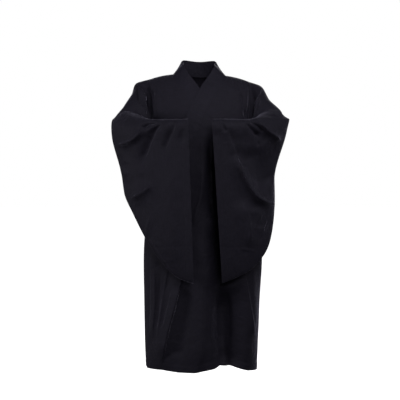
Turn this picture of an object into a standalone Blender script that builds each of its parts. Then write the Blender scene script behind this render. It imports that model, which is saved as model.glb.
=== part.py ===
"""Buddhist monk robe: a long black wrap robe with wide hanging sleeves and a
standing collar band, in the hollow form it takes with the hands held together.

The robe is cut the traditional way, with no shoulder seam: each half runs from
the front hem over the shoulder to the back hem. Metres, +Z up, the front faces
-Y. The origin is the middle of the neck at the height of the shoulders, where
the wearer holds the robe. "Left" and "right" are the wearer's: the wearer's
left is +X.
"""

import math

import bmesh
import bpy
import numpy as np

# ---- driving sizes -------------------------------------------------------
WALL = 0.0022  # cloth wall of the body and sleeves
BAND_WALL = 0.0030  # the band is the same cloth folded into several layers
SEAM_GAP = 0.0019  # between the edges of two pieces that are sewn together
ARMHOLE_GAP = 0.0023  # the same at the armhole, where the walls meet at a slant
ROUNDNESS = 2.4  # exponent of the body's oval sections: 2 is an ellipse
BAND_WIDTH = 0.066
BAND_GAP = 0.0018  # between it and the edge that it is sewn to
LAP = 0.005  # the outer front stands this far out of the body's form
TUCK = 0.018  # the inner front lies this far inside the body's form
TUCK_TOP, TUCK_FULL = -0.15, -0.28  # heights between which it goes inside
OUTER_END = math.radians(70)  # the outer front ends just before the side seam
INNER_END = math.radians(58)
INNER_HEM_RISE = 0.012
SHOULDER_TILT = 0.025  # the left shoulder is a little lower than the right
BAND_SLOPE = 0.50  # metres sideways for each metre down, below the crossing

FRONT, BACK = -1, 1
LEFT, RIGHT = 1, -1

# ---- the body's level sections, from the crest of the shoulder to the hem --
# edge: how much of the depth is left at the side, where the armhole is cut
# drop: how much lower the section is at its side than in the middle
LEVEL_COLUMNS = (
    "front_z", "back_z", "half_width", "front", "back", "edge", "drop", "centre",
)
LEVELS = {
    "crest":    (0.013, 0.013, 0.216, 0.000, 0.000, 1.00, 0.028, -0.005),
    "slope":    (0.005, 0.012, 0.216, 0.034, 0.032, 0.80, 0.028, -0.005),
    "neck":     (-0.023, 0.006, 0.216, 0.068, 0.062, 0.66, 0.027, -0.005),
    "yoke":     (-0.073, -0.038, 0.216, 0.098, 0.090, 0.56, 0.020, -0.004),
    "chest":    (-0.150, -0.130, 0.214, 0.122, 0.110, 0.46, 0.008, -0.002),
    "bust":     (-0.245, -0.240, 0.210, 0.133, 0.120, 0.30, 0.000, 0.000),
    "armpit":   (-0.335, -0.335, 0.206, 0.136, 0.124, 0.00, 0.000, 0.000),
    "waist":    (-0.500, -0.500, 0.222, 0.140, 0.130, 0.00, 0.000, 0.004),
    "hip":      (-0.740, -0.740, 0.260, 0.156, 0.146, 0.00, 0.000, 0.011),
    "knee":     (-1.000, -1.000, 0.254, 0.170, 0.157, 0.00, 0.000, 0.006),
    "hem":      (-1.280, -1.280, 0.245, 0.184, 0.170, 0.00, 0.000, 0.004),
}
CREST, NECK, ARMPIT, HEM = 0, 2, 6, 10  # places of those rows in the table

# the front's cut neck edge: how far from the middle it is at each height
NECK_EDGE = {
    "height":   (0.000, -0.030, -0.076, -0.140, -0.2075),
    "from_middle": (0.1165, 0.100, 0.066, 0.034, 0.000),
}
NECK_HALF_WIDTH, NECK_BACK_DEPTH = 0.1165, 0.062

# the front hem, from the wearer's right side to the left: it arches up left of
# the middle
FRONT_HEM = {
    "x": (-0.240, -0.160, -0.095, -0.030, 0.020, 0.065, 0.100, 0.135, 0.158,
          0.180, 0.200, 0.250),
    "z": (-1.276, -1.272, -1.278, -1.277, -1.265, -1.256, -1.236, -1.235,
          -1.246, -1.262, -1.274, -1.288),
}

BACK_HEM = {
    "x": (-0.245, -0.120, 0.000, 0.120, 0.255),
    "z": (-1.276, -1.270, -1.268, -1.271, -1.288),
}

# ---- folds of the body: ridges (+) and troughs (-) in the front or back view -
FOLD_COLUMNS = ("x0", "z0", "x1", "z1", "height", "width")
FRONT_FOLDS = {
    "long_ridge":      (-0.082, -0.86, -0.165, -1.25, 0.018, 0.040),
    "beside_ridge":    (-0.040, -0.90, -0.105, -1.20, -0.006, 0.034),
    "right_edge":      (-0.205, -0.72, -0.198, -1.12, 0.008, 0.024),
    "upper_fold":      (0.000, -0.38, 0.000, -0.80, 0.010, 0.044),
    "lower_fold":      (-0.002, -0.74, 0.002, -1.26, 0.016, 0.060),
    "upper_valley":    (0.068, -0.26, 0.074, -0.62, -0.034, 0.032),
    "middle_valley":   (0.082, -0.66, 0.104, -0.90, -0.040, 0.040),
    "lower_valley":    (0.114, -0.93, 0.122, -1.26, -0.055, 0.052),
    "left_broad":      (0.190, -0.84, 0.196, -1.25, 0.010, 0.034),
    "left_side_ridge": (0.214, -0.80, 0.228, -1.12, 0.008, 0.020),
}
VALLEYS = {name: row for name, row in FRONT_FOLDS.items() if "valley" in name}
BACK_FOLDS = {
    "left_outer":   (0.196, -0.36, 0.204, -1.26, 0.012, 0.030),
    "left_trough":  (0.152, -0.46, 0.160, -1.22, -0.008, 0.030),
    "left_inner":   (0.106, -0.26, 0.122, -1.26, 0.015, 0.038),
    "middle":       (0.028, -0.44, 0.036, -1.26, 0.012, 0.036),
    "right_middle": (-0.058, -0.34, -0.072, -1.26, 0.014, 0.038),
    "right_trough": (-0.110, -0.50, -0.118, -1.22, -0.008, 0.028),
    "right_inner":  (-0.156, -0.28, -0.166, -1.26, 0.014, 0.034),
    "right_outer":  (-0.212, -0.52, -0.218, -1.24, 0.009, 0.024),
}

# ---- the sleeves: sections across the arm, from the elbow's back to the cuff -
# top and bottom are the section's highest and lowest points; turn is the way
# that its outer layer faces, in degrees from straight back round to the front;
# arm is its half thickness over the arm, bag in the hanging part below it, and
# bow moves its middle outwards
SLEEVE_COLUMNS = (
    "top_x", "top_y", "top_z", "low_x", "low_y", "low_z", "turn", "arm", "bag",
    "bow",
)
SLEEVES = {
    LEFT: {
        "upper_arm": (0.270, -0.020, -0.046, 0.258, -0.015, -0.400, 14, 0.056, 0.046, 0.000),
        "arm":       (0.279, -0.045, -0.092, 0.288, -0.045, -0.455, 45, 0.060, 0.034, 0.000),
        "elbow":     (0.304, -0.094, -0.147, 0.316, -0.100, -0.570, 90, 0.077, 0.020, -0.012),
        "fore":      (0.264, -0.146, -0.178, 0.294, -0.152, -0.735, 135, 0.058, 0.020, -0.006),
        "mid_fore":  (0.212, -0.192, -0.199, 0.229, -0.184, -0.830, 156, 0.038, 0.024, 0.000),
        "wrist":     (0.130, -0.222, -0.202, 0.155, -0.206, -0.874, 168, 0.036, 0.026, 0.000),
        "cuff":      (0.048, -0.252, -0.204, 0.092, -0.228, -0.897, 181, 0.034, 0.028, 0.000),
    },
    RIGHT: {
        "upper_arm": (0.284, -0.020, -0.031, 0.258, -0.015, -0.390, 14, 0.056, 0.046, 0.000),
        "arm":       (0.276, -0.045, -0.062, 0.285, -0.040, -0.430, 45, 0.054, 0.034, 0.000),
        "elbow":     (0.303, -0.094, -0.154, 0.326, -0.100, -0.500, 90, 0.078, 0.020, 0.000),
        "fore":      (0.264, -0.146, -0.180, 0.284, -0.150, -0.615, 135, 0.058, 0.020, 0.006),
        "mid_fore":  (0.212, -0.192, -0.200, 0.204, -0.184, -0.760, 156, 0.038, 0.024, 0.003),
        "wrist":     (0.134, -0.223, -0.203, 0.112, -0.206, -0.865, 168, 0.036, 0.026, 0.000),
        "cuff":      (0.054, -0.252, -0.204, 0.030, -0.228, -0.899, 182, 0.034, 0.028, 0.000),
    },
}

# ---- the band: which way its free edge goes from its sewn edge, from the
# middle of the back (0) along one half; inward is towards the neck's middle and
# flat is how far it lies on the chest instead of standing
BAND_COLUMNS_OF = ("run", "inward", "back", "up", "flat")
BAND_STANDS = {
    "back":       (0.00, 0.00, -0.10, 1.02, 0.0),
    "nape":       (0.10, 0.18, -0.16, 1.00, 0.0),
    "neck_side":  (0.20, 0.70, -0.10, 0.80, 0.0),
    "collarbone": (0.30, 0.74, -0.02, 0.74, 0.0),
    "throat":     (0.38, 0.80, 0.16, 0.62, 0.0),
    "breast":     (0.50, 0.88, 0.16, 0.47, 1.0),
    "crossing":   (0.60, 0.89, 0.00, 0.45, 1.0),
    "chest":      (0.80, 0.89, 0.00, 0.45, 1.0),
    "end":        (1.00, 0.89, 0.00, 0.45, 1.0),
}
BAND_CREST, BAND_CROSSING = 0.20, 0.60  # runs at which it passes those places
BAND_END = 0.42  # the share of a panel's top edge that it covers
BAND_LEAN = 0.03  # how far the standing part leans to the right
BAND_OUTER_OUT, BAND_INNER_OUT = 0.0058, -0.0002

# the largest folds of the sleeves' outer layers below the forearms, in the
# front view
SLEEVE_FOLDS = {
    LEFT: {
        "elbow_ridge":  (0.235, -0.212, 0.345, -0.300, 0.008, 0.028),
        "crook":        (0.205, -0.235, 0.285, -0.285, -0.010, 0.028),
        "pouch_top":    (0.122, -0.235, 0.150, -0.340, 0.008, 0.028),
        "pouch_ridge":  (0.160, -0.370, 0.262, -0.540, 0.014, 0.028),
        "pouch_end":    (0.262, -0.540, 0.320, -0.560, 0.006, 0.028),
        "pouch_hollow": (0.215, -0.330, 0.290, -0.470, -0.020, 0.042),
        "lower_ridge":  (0.172, -0.560, 0.212, -0.740, 0.012, 0.030),
        "lower_hollow": (0.240, -0.640, 0.285, -0.660, -0.010, 0.032),
    },
    RIGHT: {
        "elbow_ridge":  (-0.365, -0.302, -0.255, -0.250, 0.006, 0.032),
        "crook":        (-0.262, -0.272, -0.175, -0.225, -0.007, 0.034),
        "long_trough":  (-0.172, -0.232, -0.262, -0.400, -0.006, 0.034),
        "hang_outer":   (-0.300, -0.335, -0.262, -0.560, 0.010, 0.034),
        "hang_inner":   (-0.130, -0.400, -0.128, -0.800, 0.008, 0.045),
        "low_ridge":    (-0.285, -0.535, -0.205, -0.485, 0.003, 0.028),
    },
}

# ---- the two ties that close the robe at the wearer's right side: girth is
# the angle round the body from the middle of the front, out the distance from
# the body's form
TIE_COLUMNS = ("girth", "height", "out")
TIES = {
    "tie_front": (
        (63.0, -0.446, 0.0084),
        (70.0, -0.449, 0.0082),
        (76.0, -0.452, 0.0070),
        (80.0, -0.455, 0.0055),
        (81.0, -0.472, 0.0045),
        (80.6, -0.520, 0.0040),
        (80.0, -0.580, 0.0040),
        (80.6, -0.640, 0.0040),
    ),
    "tie_side": (
        (104.0, -0.447, 0.0049),
        (96.0, -0.450, 0.0049),
        (90.0, -0.453, 0.0049),
        (86.6, -0.456, 0.0049),
        (85.8, -0.473, 0.0049),
        (86.4, -0.515, 0.0044),
        (87.2, -0.565, 0.0044),
        (86.6, -0.612, 0.0044),
    ),
}
TIE_WIDTH, TIE_WALL = 0.011, 0.0016
KNOT = {"girth": 83.2, "height": -0.454, "out": 0.0105, "size": (0.017, 0.026, 0.009)}

# grid sizes of the solids
PANEL_COLUMNS, FRONT_ROWS, BACK_ROWS = 11, 34, 26
LAP_COLUMNS, LAP_ROWS = 9, 26
INNER_COLUMNS, INNER_ROWS = 8, 16
RING_POINTS, SLEEVE_ROWS = 36, 23
BAND_ROWS, BAND_COLUMNS = 60, 3
RING_EVENNESS = 0.45

CLOTH = {
    "black_cloth": ((0.0110, 0.0107, 0.0144), 0.62),
    "black_band_cloth": ((0.0095, 0.0092, 0.0125), 0.58),
}


# ---- helpers ---------------------------------------------------------------
def clear_scene():
    for thing in list(bpy.data.objects):
        bpy.data.objects.remove(thing, do_unlink=True)


def cloth_material(name):
    colour, roughness = CLOTH[name]
    material = bpy.data.materials.get(name) or bpy.data.materials.new(name)
    material.use_nodes = True
    shader = material.node_tree.nodes["Principled BSDF"]
    shader.inputs["Base Color"].default_value = (*colour, 1)
    shader.inputs["Roughness"].default_value = roughness
    shader.inputs["Metallic"].default_value = 0
    return material


def smooth(rows, place):
    """The row of a table at a place between two rows, on a smooth curve."""
    rows = np.asarray(rows, float)
    place = min(max(place, 0.0), len(rows) - 1.0)
    i = min(int(place), len(rows) - 2)
    t = place - i
    a, b = rows[i], rows[i + 1]
    before = rows[i - 1] if i else 2 * a - b
    after = rows[i + 2] if i + 2 < len(rows) else 2 * b - a
    return (
        a
        + 0.5 * t * (b - before)
        + t * t * (before - 2.5 * a + 2 * b - 0.5 * after)
        + 0.5 * t**3 * (after - before + 3 * (a - b))
    )


def ramp(value, start, end):
    t = min(max((value - start) / (end - start), 0.0), 1.0)
    return t * t * (3 - 2 * t)


def fold_height(x, z, folds):
    """How far the folds of one view lift the cloth at a place in that view."""
    lift = 0.0
    for x0, z0, x1, z1, height, width in folds.values():
        run = (x1 - x0) ** 2 + (z1 - z0) ** 2
        t = ((x - x0) * (x1 - x0) + (z - z0) * (z1 - z0)) / run
        along = ramp(t, -0.15, 0.25) * ramp(-t, -1.15, -0.85)
        nearest = min(max(t, 0.0), 1.0)
        away = math.hypot(x - x0 - nearest * (x1 - x0), z - z0 - nearest * (z1 - z0))
        lift += height * along * math.exp(-((away / width) ** 2))
    return lift


# ---- the body's form -------------------------------------------------------
def level(place):
    return dict(zip(LEVEL_COLUMNS, smooth(list(LEVELS.values()), place)))


def height_at(row, place, x, face):
    """The height of a level section x from the middle."""
    across = (x - row["centre"]) / row["half_width"]
    middle = row["front_z"] if face == FRONT else row["back_z"]
    tilt = SHOULDER_TILT * x * max(1 - place / ARMPIT, 0.0)
    return middle - row["drop"] * min(abs(across), 1.0) ** 3 - tilt


def body_point(side, angle, place, face, out=0.0, hem_rise=0.0):
    """A point of the body's form: side is LEFT or RIGHT, angle goes from the
    middle (0) to the side (90 degrees), place runs down the level sections and
    face is FRONT or BACK. out moves it away from the form."""
    row = level(place)
    across = math.sin(angle) ** (2 / ROUNDNESS)
    depth = row["front"] if face == FRONT else row["back"]
    inward = math.cos(angle) ** (2 / ROUNDNESS) if angle < math.pi / 2 else 0.0
    edge = max(row["edge"], 0.0)
    x = row["centre"] + side * row["half_width"] * across
    y = face * depth * (edge + (1 - edge) * inward)
    z = height_at(row, place, x, face)
    armpit = LEVELS["armpit"][0]
    if z < armpit:
        line = FRONT_HEM if face == FRONT else BACK_HEM
        hem = float(np.interp(x, line["x"], line["z"])) + hem_rise
        z = armpit + (z - armpit) * (hem - armpit) / (LEVELS["hem"][0] - armpit)
    away = np.array([side * math.sin(angle), face * math.cos(angle), 0.0])
    return np.array([x, y, z]) + out * away


def place_of(x, z, face=FRONT):
    """The place down the level sections of a point of the form at x and z."""
    low, high = 0.0, float(HEM)
    for _ in range(30):
        middle = (low + high) / 2
        if height_at(level(middle), middle, x, face) > z:
            low = middle
        else:
            high = middle
    return (low + high) / 2


def angle_at(x, place):
    """The angle round the section at which the form is at x."""
    row = level(place)
    across = min(abs(x - row["centre"]) / row["half_width"], 1.0)
    return math.asin(across ** (ROUNDNESS / 2))


def outer_out(angle):
    """The outer front's way out of the form: full in the middle, and none at
    the left side seam."""
    return LAP * math.cos(angle)


def inner_out(z, angle):
    return -TUCK * ramp(-z, -TUCK_TOP, -TUCK_FULL) * math.cos(angle)


def neck_end():
    """The place at which the front's neck edge reaches the middle."""
    return place_of(0.0, NECK_EDGE["height"][-1])


def nape_place(share):
    """A place along the back's neck edge, evenly spaced round the neck."""
    return NECK * math.sin(math.pi / 2 * share)


def neck_angle(place, face):
    """The angle at which a half's cut edge runs: the middle seam, and round the
    neck above it."""
    row = level(place)
    if face == BACK:
        depth = min(row["back"] / NECK_BACK_DEPTH, 1.0)
        x = NECK_HALF_WIDTH * math.sqrt(1 - depth**2) if place < NECK else 0.0
    else:
        heights = [-h for h in NECK_EDGE["height"]]
        x = float(np.interp(-row["front_z"], heights, NECK_EDGE["from_middle"]))
    return math.asin(min(x / row["half_width"], 1.0) ** (ROUNDNESS / 2))


def half_point(side, across, place, face):
    """A point of a half of the robe, from its cut edge or middle seam (0) to
    the side seam or armhole (1)."""
    start = neck_angle(place, face)
    angle = start + (math.pi / 2 - start) * across
    bare = body_point(side, angle, place, face)
    out = 0.0
    if face == BACK:
        out = fold_height(bare[0], bare[2], BACK_FOLDS)
    elif side == LEFT:
        out = outer_out(angle) * ramp(place, 0.0, 3.0)
        out += fold_height(bare[0], bare[2], FRONT_FOLDS)
    else:
        out = inner_out(bare[2], angle)
    out *= ramp(1 - across, 0.0, 0.12) if place < ARMPIT + 1 else 1.0
    point = body_point(side, angle, place, face, out)
    point[0] += side * SEAM_GAP / 2
    point[1] += face * SEAM_GAP / 2 if place > 0.05 else 0.0
    return point


# ---- making meshes ---------------------------------------------------------
def sheet(name, columns, rows, point, wall, material, closed=False, flip=False):
    """A cloth wall through point(across, down), each from 0 to 1. closed joins
    its first column to its last, as on a tube."""
    mesh_data = bmesh.new()
    bmesh.ops.create_grid(
        mesh_data, x_segments=columns, y_segments=rows, size=1
    )
    for vertex in mesh_data.verts:
        across = (vertex.co.x + 1) / 2
        down = (vertex.co.y + 1) / 2
        if closed and across > 1 - 1e-6:
            across = 0.0
        vertex.co = point(across, down)
    if closed:
        bmesh.ops.remove_doubles(mesh_data, verts=mesh_data.verts, dist=1e-6)
    if flip:
        bmesh.ops.reverse_faces(mesh_data, faces=mesh_data.faces)
    mesh = bpy.data.meshes.new(name)
    mesh_data.to_mesh(mesh)
    mesh_data.free()
    mesh.shade_smooth()
    piece = bpy.data.objects.new(name, mesh)
    mesh.materials.append(cloth_material(material))
    shell = piece.modifiers.new("Cloth wall", "SOLIDIFY")
    shell.thickness = wall
    shell.offset = -1
    shell.use_rim = True
    robe_collection().objects.link(piece)
    return piece


def robe_collection():
    found = bpy.data.collections.get("Monk robe")
    if found is None:
        found = bpy.data.collections.new("Monk robe")
        bpy.context.scene.collection.children.link(found)
    return found


# ---- the pieces ------------------------------------------------------------
# A half's rows run from the front hem over the crest to the back hem. These are
# the shares of a face's rows, from the crest down, and the places there.
NECK_ROWS = 12  # rows of the front from the crest to the end of its neck edge
NAPE_ROWS = 6  # rows of the back from the crest to the end of its neck edge


def half_place(down):
    """Front or back, and the place there, of a row from 0 to 1 down a half."""
    split = FRONT_ROWS / (FRONT_ROWS + BACK_ROWS)
    if down <= split:
        share = 1 - down / split
        shares = (0.0, NECK_ROWS / FRONT_ROWS, 0.60, 1.0)
        places = (0.0, neck_end(), ARMPIT + 0.6, HEM)
        return FRONT, float(np.interp(share, shares, places))
    share = (down - split) / (1 - split)
    nape = NAPE_ROWS / BACK_ROWS
    if share <= nape:
        return BACK, nape_place(share / nape)
    return BACK, float(np.interp(share, (nape, 0.52, 1.0), (NECK, ARMPIT, HEM)))


def make_half(side, name):
    """Front and back of one side in one piece, over the shoulder."""

    def point(across, down):
        face, place = half_place(down)
        return half_point(side, across, place, face)

    sheet(
        name, PANEL_COLUMNS, FRONT_ROWS + BACK_ROWS, point, WALL, "black_cloth",
        flip=side == RIGHT,
    )


def lap_top(x):
    """The height of a front panel's cut top edge, x beyond the middle."""
    return NECK_EDGE["height"][-1] - x / BAND_SLOPE


def lap_point(side, across, down, end, out, hem_rise, folds):
    """A point of a front panel that carries on beyond the middle, to a side."""
    angle = end * across
    top = float(ARMPIT)
    for _ in range(12):
        x = abs(body_point(side, angle, top, FRONT)[0])
        top = place_of(x, lap_top(x))
    place = top + (HEM - top) * down
    bare = body_point(side, angle, place, FRONT)
    lift = fold_height(bare[0], bare[2], folds)
    point = body_point(side, angle, place, FRONT, out(bare[2], angle) + lift, hem_rise)
    point[0] += side * SEAM_GAP / 2
    point[1] -= SEAM_GAP / 2
    return point


def make_outer_front():
    """The panel sewn to the left half's front, which laps over the right."""

    def point(across, down):
        return lap_point(
            RIGHT, across, down, OUTER_END, lambda z, angle: LAP, 0.0, FRONT_FOLDS
        )

    sheet("outer_front", LAP_COLUMNS, LAP_ROWS, point, WALL, "black_cloth", flip=False)


def make_inner_front():
    """The panel sewn to the right half's front, which lies under the left."""

    def out(z, angle):
        return -TUCK * ramp(-z, -TUCK_TOP, -TUCK_FULL)

    def point(across, down):
        return lap_point(
            LEFT, across, down, INNER_END, out, INNER_HEM_RISE, VALLEYS
        )

    sheet("inner_front", INNER_COLUMNS, INNER_ROWS, point, WALL, "black_cloth", flip=True)


def ring_down(angle):
    """How far down a section a point is, closest together at the top and
    bottom folds."""
    even = 1 - abs(angle / math.pi - 1)
    bunched = (1 - math.cos(angle)) / 2
    return RING_EVENNESS * even + (1 - RING_EVENNESS) * bunched


def sleeve_ring(side, row, count):
    """The points round one section of a sleeve, from its top down the outer
    layer to the bottom and up the inner layer."""
    cut = dict(zip(SLEEVE_COLUMNS, row))
    top = np.array([cut["top_x"], cut["top_y"], cut["top_z"]])
    low = np.array([cut["low_x"], cut["low_y"], cut["low_z"]])
    turn = math.radians(cut["turn"])
    facing = np.array([math.sin(turn), math.cos(turn), 0.0])
    length = np.linalg.norm(low - top)
    points = []
    for i in range(count):
        angle = 2 * math.pi * i / count
        down = ring_down(angle)
        depth = down * length
        radius = cut["arm"]
        if depth < radius:
            round_arm = math.sqrt(max(radius**2 - (radius - depth) ** 2, 0.0))
        else:
            round_arm = radius * math.exp(-(((depth - radius) / (2.2 * radius)) ** 2))
        hang = cut["bag"] * ramp(depth, 0.0, 3 * radius) * math.sqrt(1 - down**4)
        layer = 1 if angle <= math.pi else -1
        half = (round_arm**4 + hang**4) ** 0.25 if 0 < i < count and down < 1 else 0.0
        bow = cut["bow"] * math.sin(math.pi * down)
        point = top + (low - top) * down + facing * (layer * half) + facing * bow
        points.append([side * point[0], point[1], point[2]])
    return points


def armhole_ring(side, count):
    """The armhole's edge, in the order of a sleeve's section."""
    points = []
    for i in range(count):
        angle = 2 * math.pi * i / count
        place = ARMPIT * (1 - math.cos(angle)) / 2
        face = BACK if angle <= math.pi else FRONT
        point = half_point(side, 1.0, place, face)
        if i in (0, count // 2):
            point[1] = 0.0
        point[0] += side * ARMHOLE_GAP
        points.append(list(point))
    return points


def make_sleeve(side, name):
    rings = [armhole_ring(side, RING_POINTS)]
    rings += [sleeve_ring(side, row, RING_POINTS) for row in SLEEVES[side].values()]
    rings = np.array(rings)

    def point(across, down):
        i = round(across * RING_POINTS) % RING_POINTS
        station = down * (len(rings) - 1)
        place = smooth(rings[:, i], station)
        if i <= RING_POINTS / 2:
            lift = fold_height(place[0], place[2], SLEEVE_FOLDS[side])
            round_layer = math.sin(2 * math.pi * i / RING_POINTS) ** 0.5
            place[1] -= lift * round_layer * ramp(station, 2.6, 4.0)
        return place

    sheet(
        name, RING_POINTS, SLEEVE_ROWS, point, WALL, "black_cloth",
        closed=True, flip=side == RIGHT,
    )


def band_base(side, run):
    """A point of the band's sewn edge: round the back of the neck, down the cut
    edge of the half and on along the panel beyond the middle."""
    if run <= BAND_CREST:
        return half_point(side, 0.0, nape_place(1 - run / BAND_CREST), BACK)
    if run <= BAND_CROSSING:
        share = (run - BAND_CREST) / (BAND_CROSSING - BAND_CREST)
        return half_point(side, 0.0, neck_end() * share, FRONT)
    share = BAND_END * (run - BAND_CROSSING) / (1 - BAND_CROSSING)
    if side == LEFT:
        return lap_point(RIGHT, share, 0.0, OUTER_END, lambda z, angle: LAP, 0.0, {})
    return lap_point(
        LEFT, share, 0.0, INNER_END, lambda z, angle: inner_out(z, 0.0), 0.0, {}
    )


def band_point(side, run, across):
    """A point of one half of the band, from its sewn edge to its free edge."""
    stands = np.array(list(BAND_STANDS.values()))
    inward, back, up, flat = (np.interp(run, stands[:, 0], stands[:, i]) for i in range(1, 5))
    flat *= flat * (3 - 2 * flat)
    base = band_base(side, run)
    ahead = np.array([-side * inward - BAND_LEAN * (1 - flat), back, up]) * BAND_WIDTH
    gap = BAND_GAP / BAND_WIDTH
    point = base + ahead * (gap + (1 - gap) * across)
    if flat > 0:
        place = place_of(point[0], point[2])
        out = BAND_OUTER_OUT if side == LEFT else BAND_INNER_OUT
        if side == RIGHT:
            out += inner_out(point[2], 0.0) + fold_height(point[0], point[2], VALLEYS)
        lying = body_point(
            LEFT if point[0] > 0 else RIGHT, angle_at(point[0], place), place, FRONT, out
        )
        point[1] += (lying[1] - point[1]) * flat
    return point


def make_band():
    """The long collar band, from the end of its outer half at the wearer's right
    side, up round the neck, to the end of its inner half."""

    def point(across, down):
        side = LEFT if down <= 0.5 else RIGHT
        return band_point(side, abs(2 * down - 1), across)

    sheet(
        "collar_band", BAND_COLUMNS, BAND_ROWS, point, BAND_WALL, "black_band_cloth",
        flip=True,
    )


def side_point(girth, height, out):
    """A point at the robe's right side, by its angle from the front's middle."""
    face = FRONT if girth <= 90 else BACK
    angle = math.radians(girth if girth <= 90 else 180 - girth)
    place = place_of(LEVELS["waist"][-1] - LEVELS["waist"][2] * math.sin(angle), height)
    return body_point(RIGHT, angle, place, face, out)


def make_tie(name):
    """A narrow flat tie, sewn on at its first row and hanging from the knot."""
    rows = TIES[name]

    def point(across, down):
        here = np.array([smooth(rows, down * (len(rows) - 1) + step) for step in (-0.05, 0, 0.05)])
        places = [side_point(*row) for row in here]
        along = places[2] - places[0]
        outward = side_point(here[1][0], here[1][1], here[1][2] + TIE_WIDTH) - places[1]
        sideways = np.cross(outward, along)
        sideways /= np.linalg.norm(sideways)
        return places[1] + sideways * TIE_WIDTH * (across - 0.5)

    sheet(name, 2, 2 * len(rows), point, TIE_WALL, "black_cloth", flip=True)


def make_knot():
    """The flat knot where the two ties cross."""
    knot_data = bmesh.new()
    bmesh.ops.create_uvsphere(knot_data, u_segments=12, v_segments=6, radius=0.5)
    deep, wide, tall = KNOT["size"][2], KNOT["size"][1], KNOT["size"][0]
    bmesh.ops.scale(knot_data, vec=(deep, wide, tall), verts=knot_data.verts)
    mesh = bpy.data.meshes.new("tie_knot")
    knot_data.to_mesh(mesh)
    knot_data.free()
    mesh.shade_smooth()
    mesh.materials.append(cloth_material("black_cloth"))
    knot = bpy.data.objects.new("tie_knot", mesh)
    knot.location = side_point(KNOT["girth"], KNOT["height"], KNOT["out"])
    knot.rotation_euler.z = math.radians(90 - KNOT["girth"])
    robe_collection().objects.link(knot)


def main():
    clear_scene()
    make_half(LEFT, "half_left")
    make_half(RIGHT, "half_right")
    make_outer_front()
    make_inner_front()
    make_sleeve(LEFT, "sleeve_left")
    make_sleeve(RIGHT, "sleeve_right")
    make_band()
    for name in TIES:
        make_tie(name)
    make_knot()


main()
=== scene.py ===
"""Black monk robe with wide hanging sleeves, made as an add-on and run as a script.

Each cut piece of the robe is a cloth shell on the form of its own solid, with
its creases, hems and sewing. Metres, +Z up, and the front faces -Y. "Left" and
"right" are the wearer's: the wearer's left is +X.
"""

import math

import bmesh
import bpy
import numpy as np
from bpy.props import (
    BoolProperty,
    FloatProperty,
    FloatVectorProperty,
    IntProperty,
    PointerProperty,
)
from bpy.types import Operator, Panel, PropertyGroup
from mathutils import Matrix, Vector


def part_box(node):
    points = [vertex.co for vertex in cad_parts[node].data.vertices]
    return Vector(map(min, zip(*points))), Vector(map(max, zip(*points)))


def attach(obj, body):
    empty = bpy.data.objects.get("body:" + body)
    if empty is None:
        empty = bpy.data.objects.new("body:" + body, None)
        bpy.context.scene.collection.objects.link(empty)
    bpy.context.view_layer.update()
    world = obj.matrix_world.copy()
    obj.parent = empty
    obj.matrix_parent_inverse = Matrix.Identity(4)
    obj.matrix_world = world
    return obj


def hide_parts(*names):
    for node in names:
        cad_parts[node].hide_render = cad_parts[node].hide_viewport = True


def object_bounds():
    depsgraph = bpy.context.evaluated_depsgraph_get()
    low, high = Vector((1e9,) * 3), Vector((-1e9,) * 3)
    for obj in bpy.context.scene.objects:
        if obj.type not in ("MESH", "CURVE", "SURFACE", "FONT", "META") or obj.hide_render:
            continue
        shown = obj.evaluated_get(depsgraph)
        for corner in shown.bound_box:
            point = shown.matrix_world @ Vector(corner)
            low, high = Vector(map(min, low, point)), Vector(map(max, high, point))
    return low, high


bl_info = {
    "name": "Monk robe",
    "version": (1, 0, 0),
    "blender": (4, 5, 0),
    "location": "3D View > Sidebar > Monk robe",
    "description": "A long black monk robe with a standing collar band and wide hanging sleeves",
    "category": "Add Mesh",
}

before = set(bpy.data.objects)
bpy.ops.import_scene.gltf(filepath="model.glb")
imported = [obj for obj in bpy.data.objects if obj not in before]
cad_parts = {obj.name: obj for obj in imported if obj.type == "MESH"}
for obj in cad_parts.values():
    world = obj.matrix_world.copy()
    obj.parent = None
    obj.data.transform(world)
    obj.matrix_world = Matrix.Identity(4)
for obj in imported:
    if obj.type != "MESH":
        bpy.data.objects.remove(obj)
CAD_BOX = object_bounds()
LOWEST = CAD_BOX[0].z

FRONT, BACK = -1, 1
LEFT, RIGHT = 1, -1

# ---- the body's level sections, from the crest of the shoulder to the hem ----
# edge is how much of the depth is left at the side, where the armhole is cut,
# and drop how much lower the section is at its side than in the middle
LEVEL_COLUMNS = (
    "front_z", "back_z", "half_width", "front", "back", "edge", "drop", "centre",
)
LEVELS = {
    "crest":    (0.013, 0.013, 0.216, 0.000, 0.000, 1.00, 0.028, -0.005),
    "slope":    (0.005, 0.012, 0.216, 0.034, 0.032, 0.80, 0.028, -0.005),
    "neck":     (-0.023, 0.006, 0.216, 0.068, 0.062, 0.66, 0.027, -0.005),
    "yoke":     (-0.073, -0.038, 0.216, 0.098, 0.090, 0.56, 0.020, -0.004),
    "chest":    (-0.150, -0.130, 0.214, 0.122, 0.110, 0.46, 0.008, -0.002),
    "bust":     (-0.245, -0.240, 0.210, 0.133, 0.120, 0.30, 0.000, 0.000),
    "armpit":   (-0.335, -0.335, 0.206, 0.136, 0.124, 0.00, 0.000, 0.000),
    "waist":    (-0.500, -0.500, 0.222, 0.140, 0.130, 0.00, 0.000, 0.004),
    "hip":      (-0.740, -0.740, 0.260, 0.156, 0.146, 0.00, 0.000, 0.011),
    "knee":     (-1.000, -1.000, 0.254, 0.170, 0.157, 0.00, 0.000, 0.006),
    "hem":      (-1.280, -1.280, 0.245, 0.184, 0.170, 0.00, 0.000, 0.004),
}
NECK, ARMPIT, HEM = (list(LEVELS).index(name) for name in ("neck", "armpit", "hem"))
ROUNDNESS = 2.4  # exponent of the body's oval sections: 2 is an ellipse
SHOULDER_TILT = 0.025  # how much lower the left shoulder is, a metre across
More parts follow.
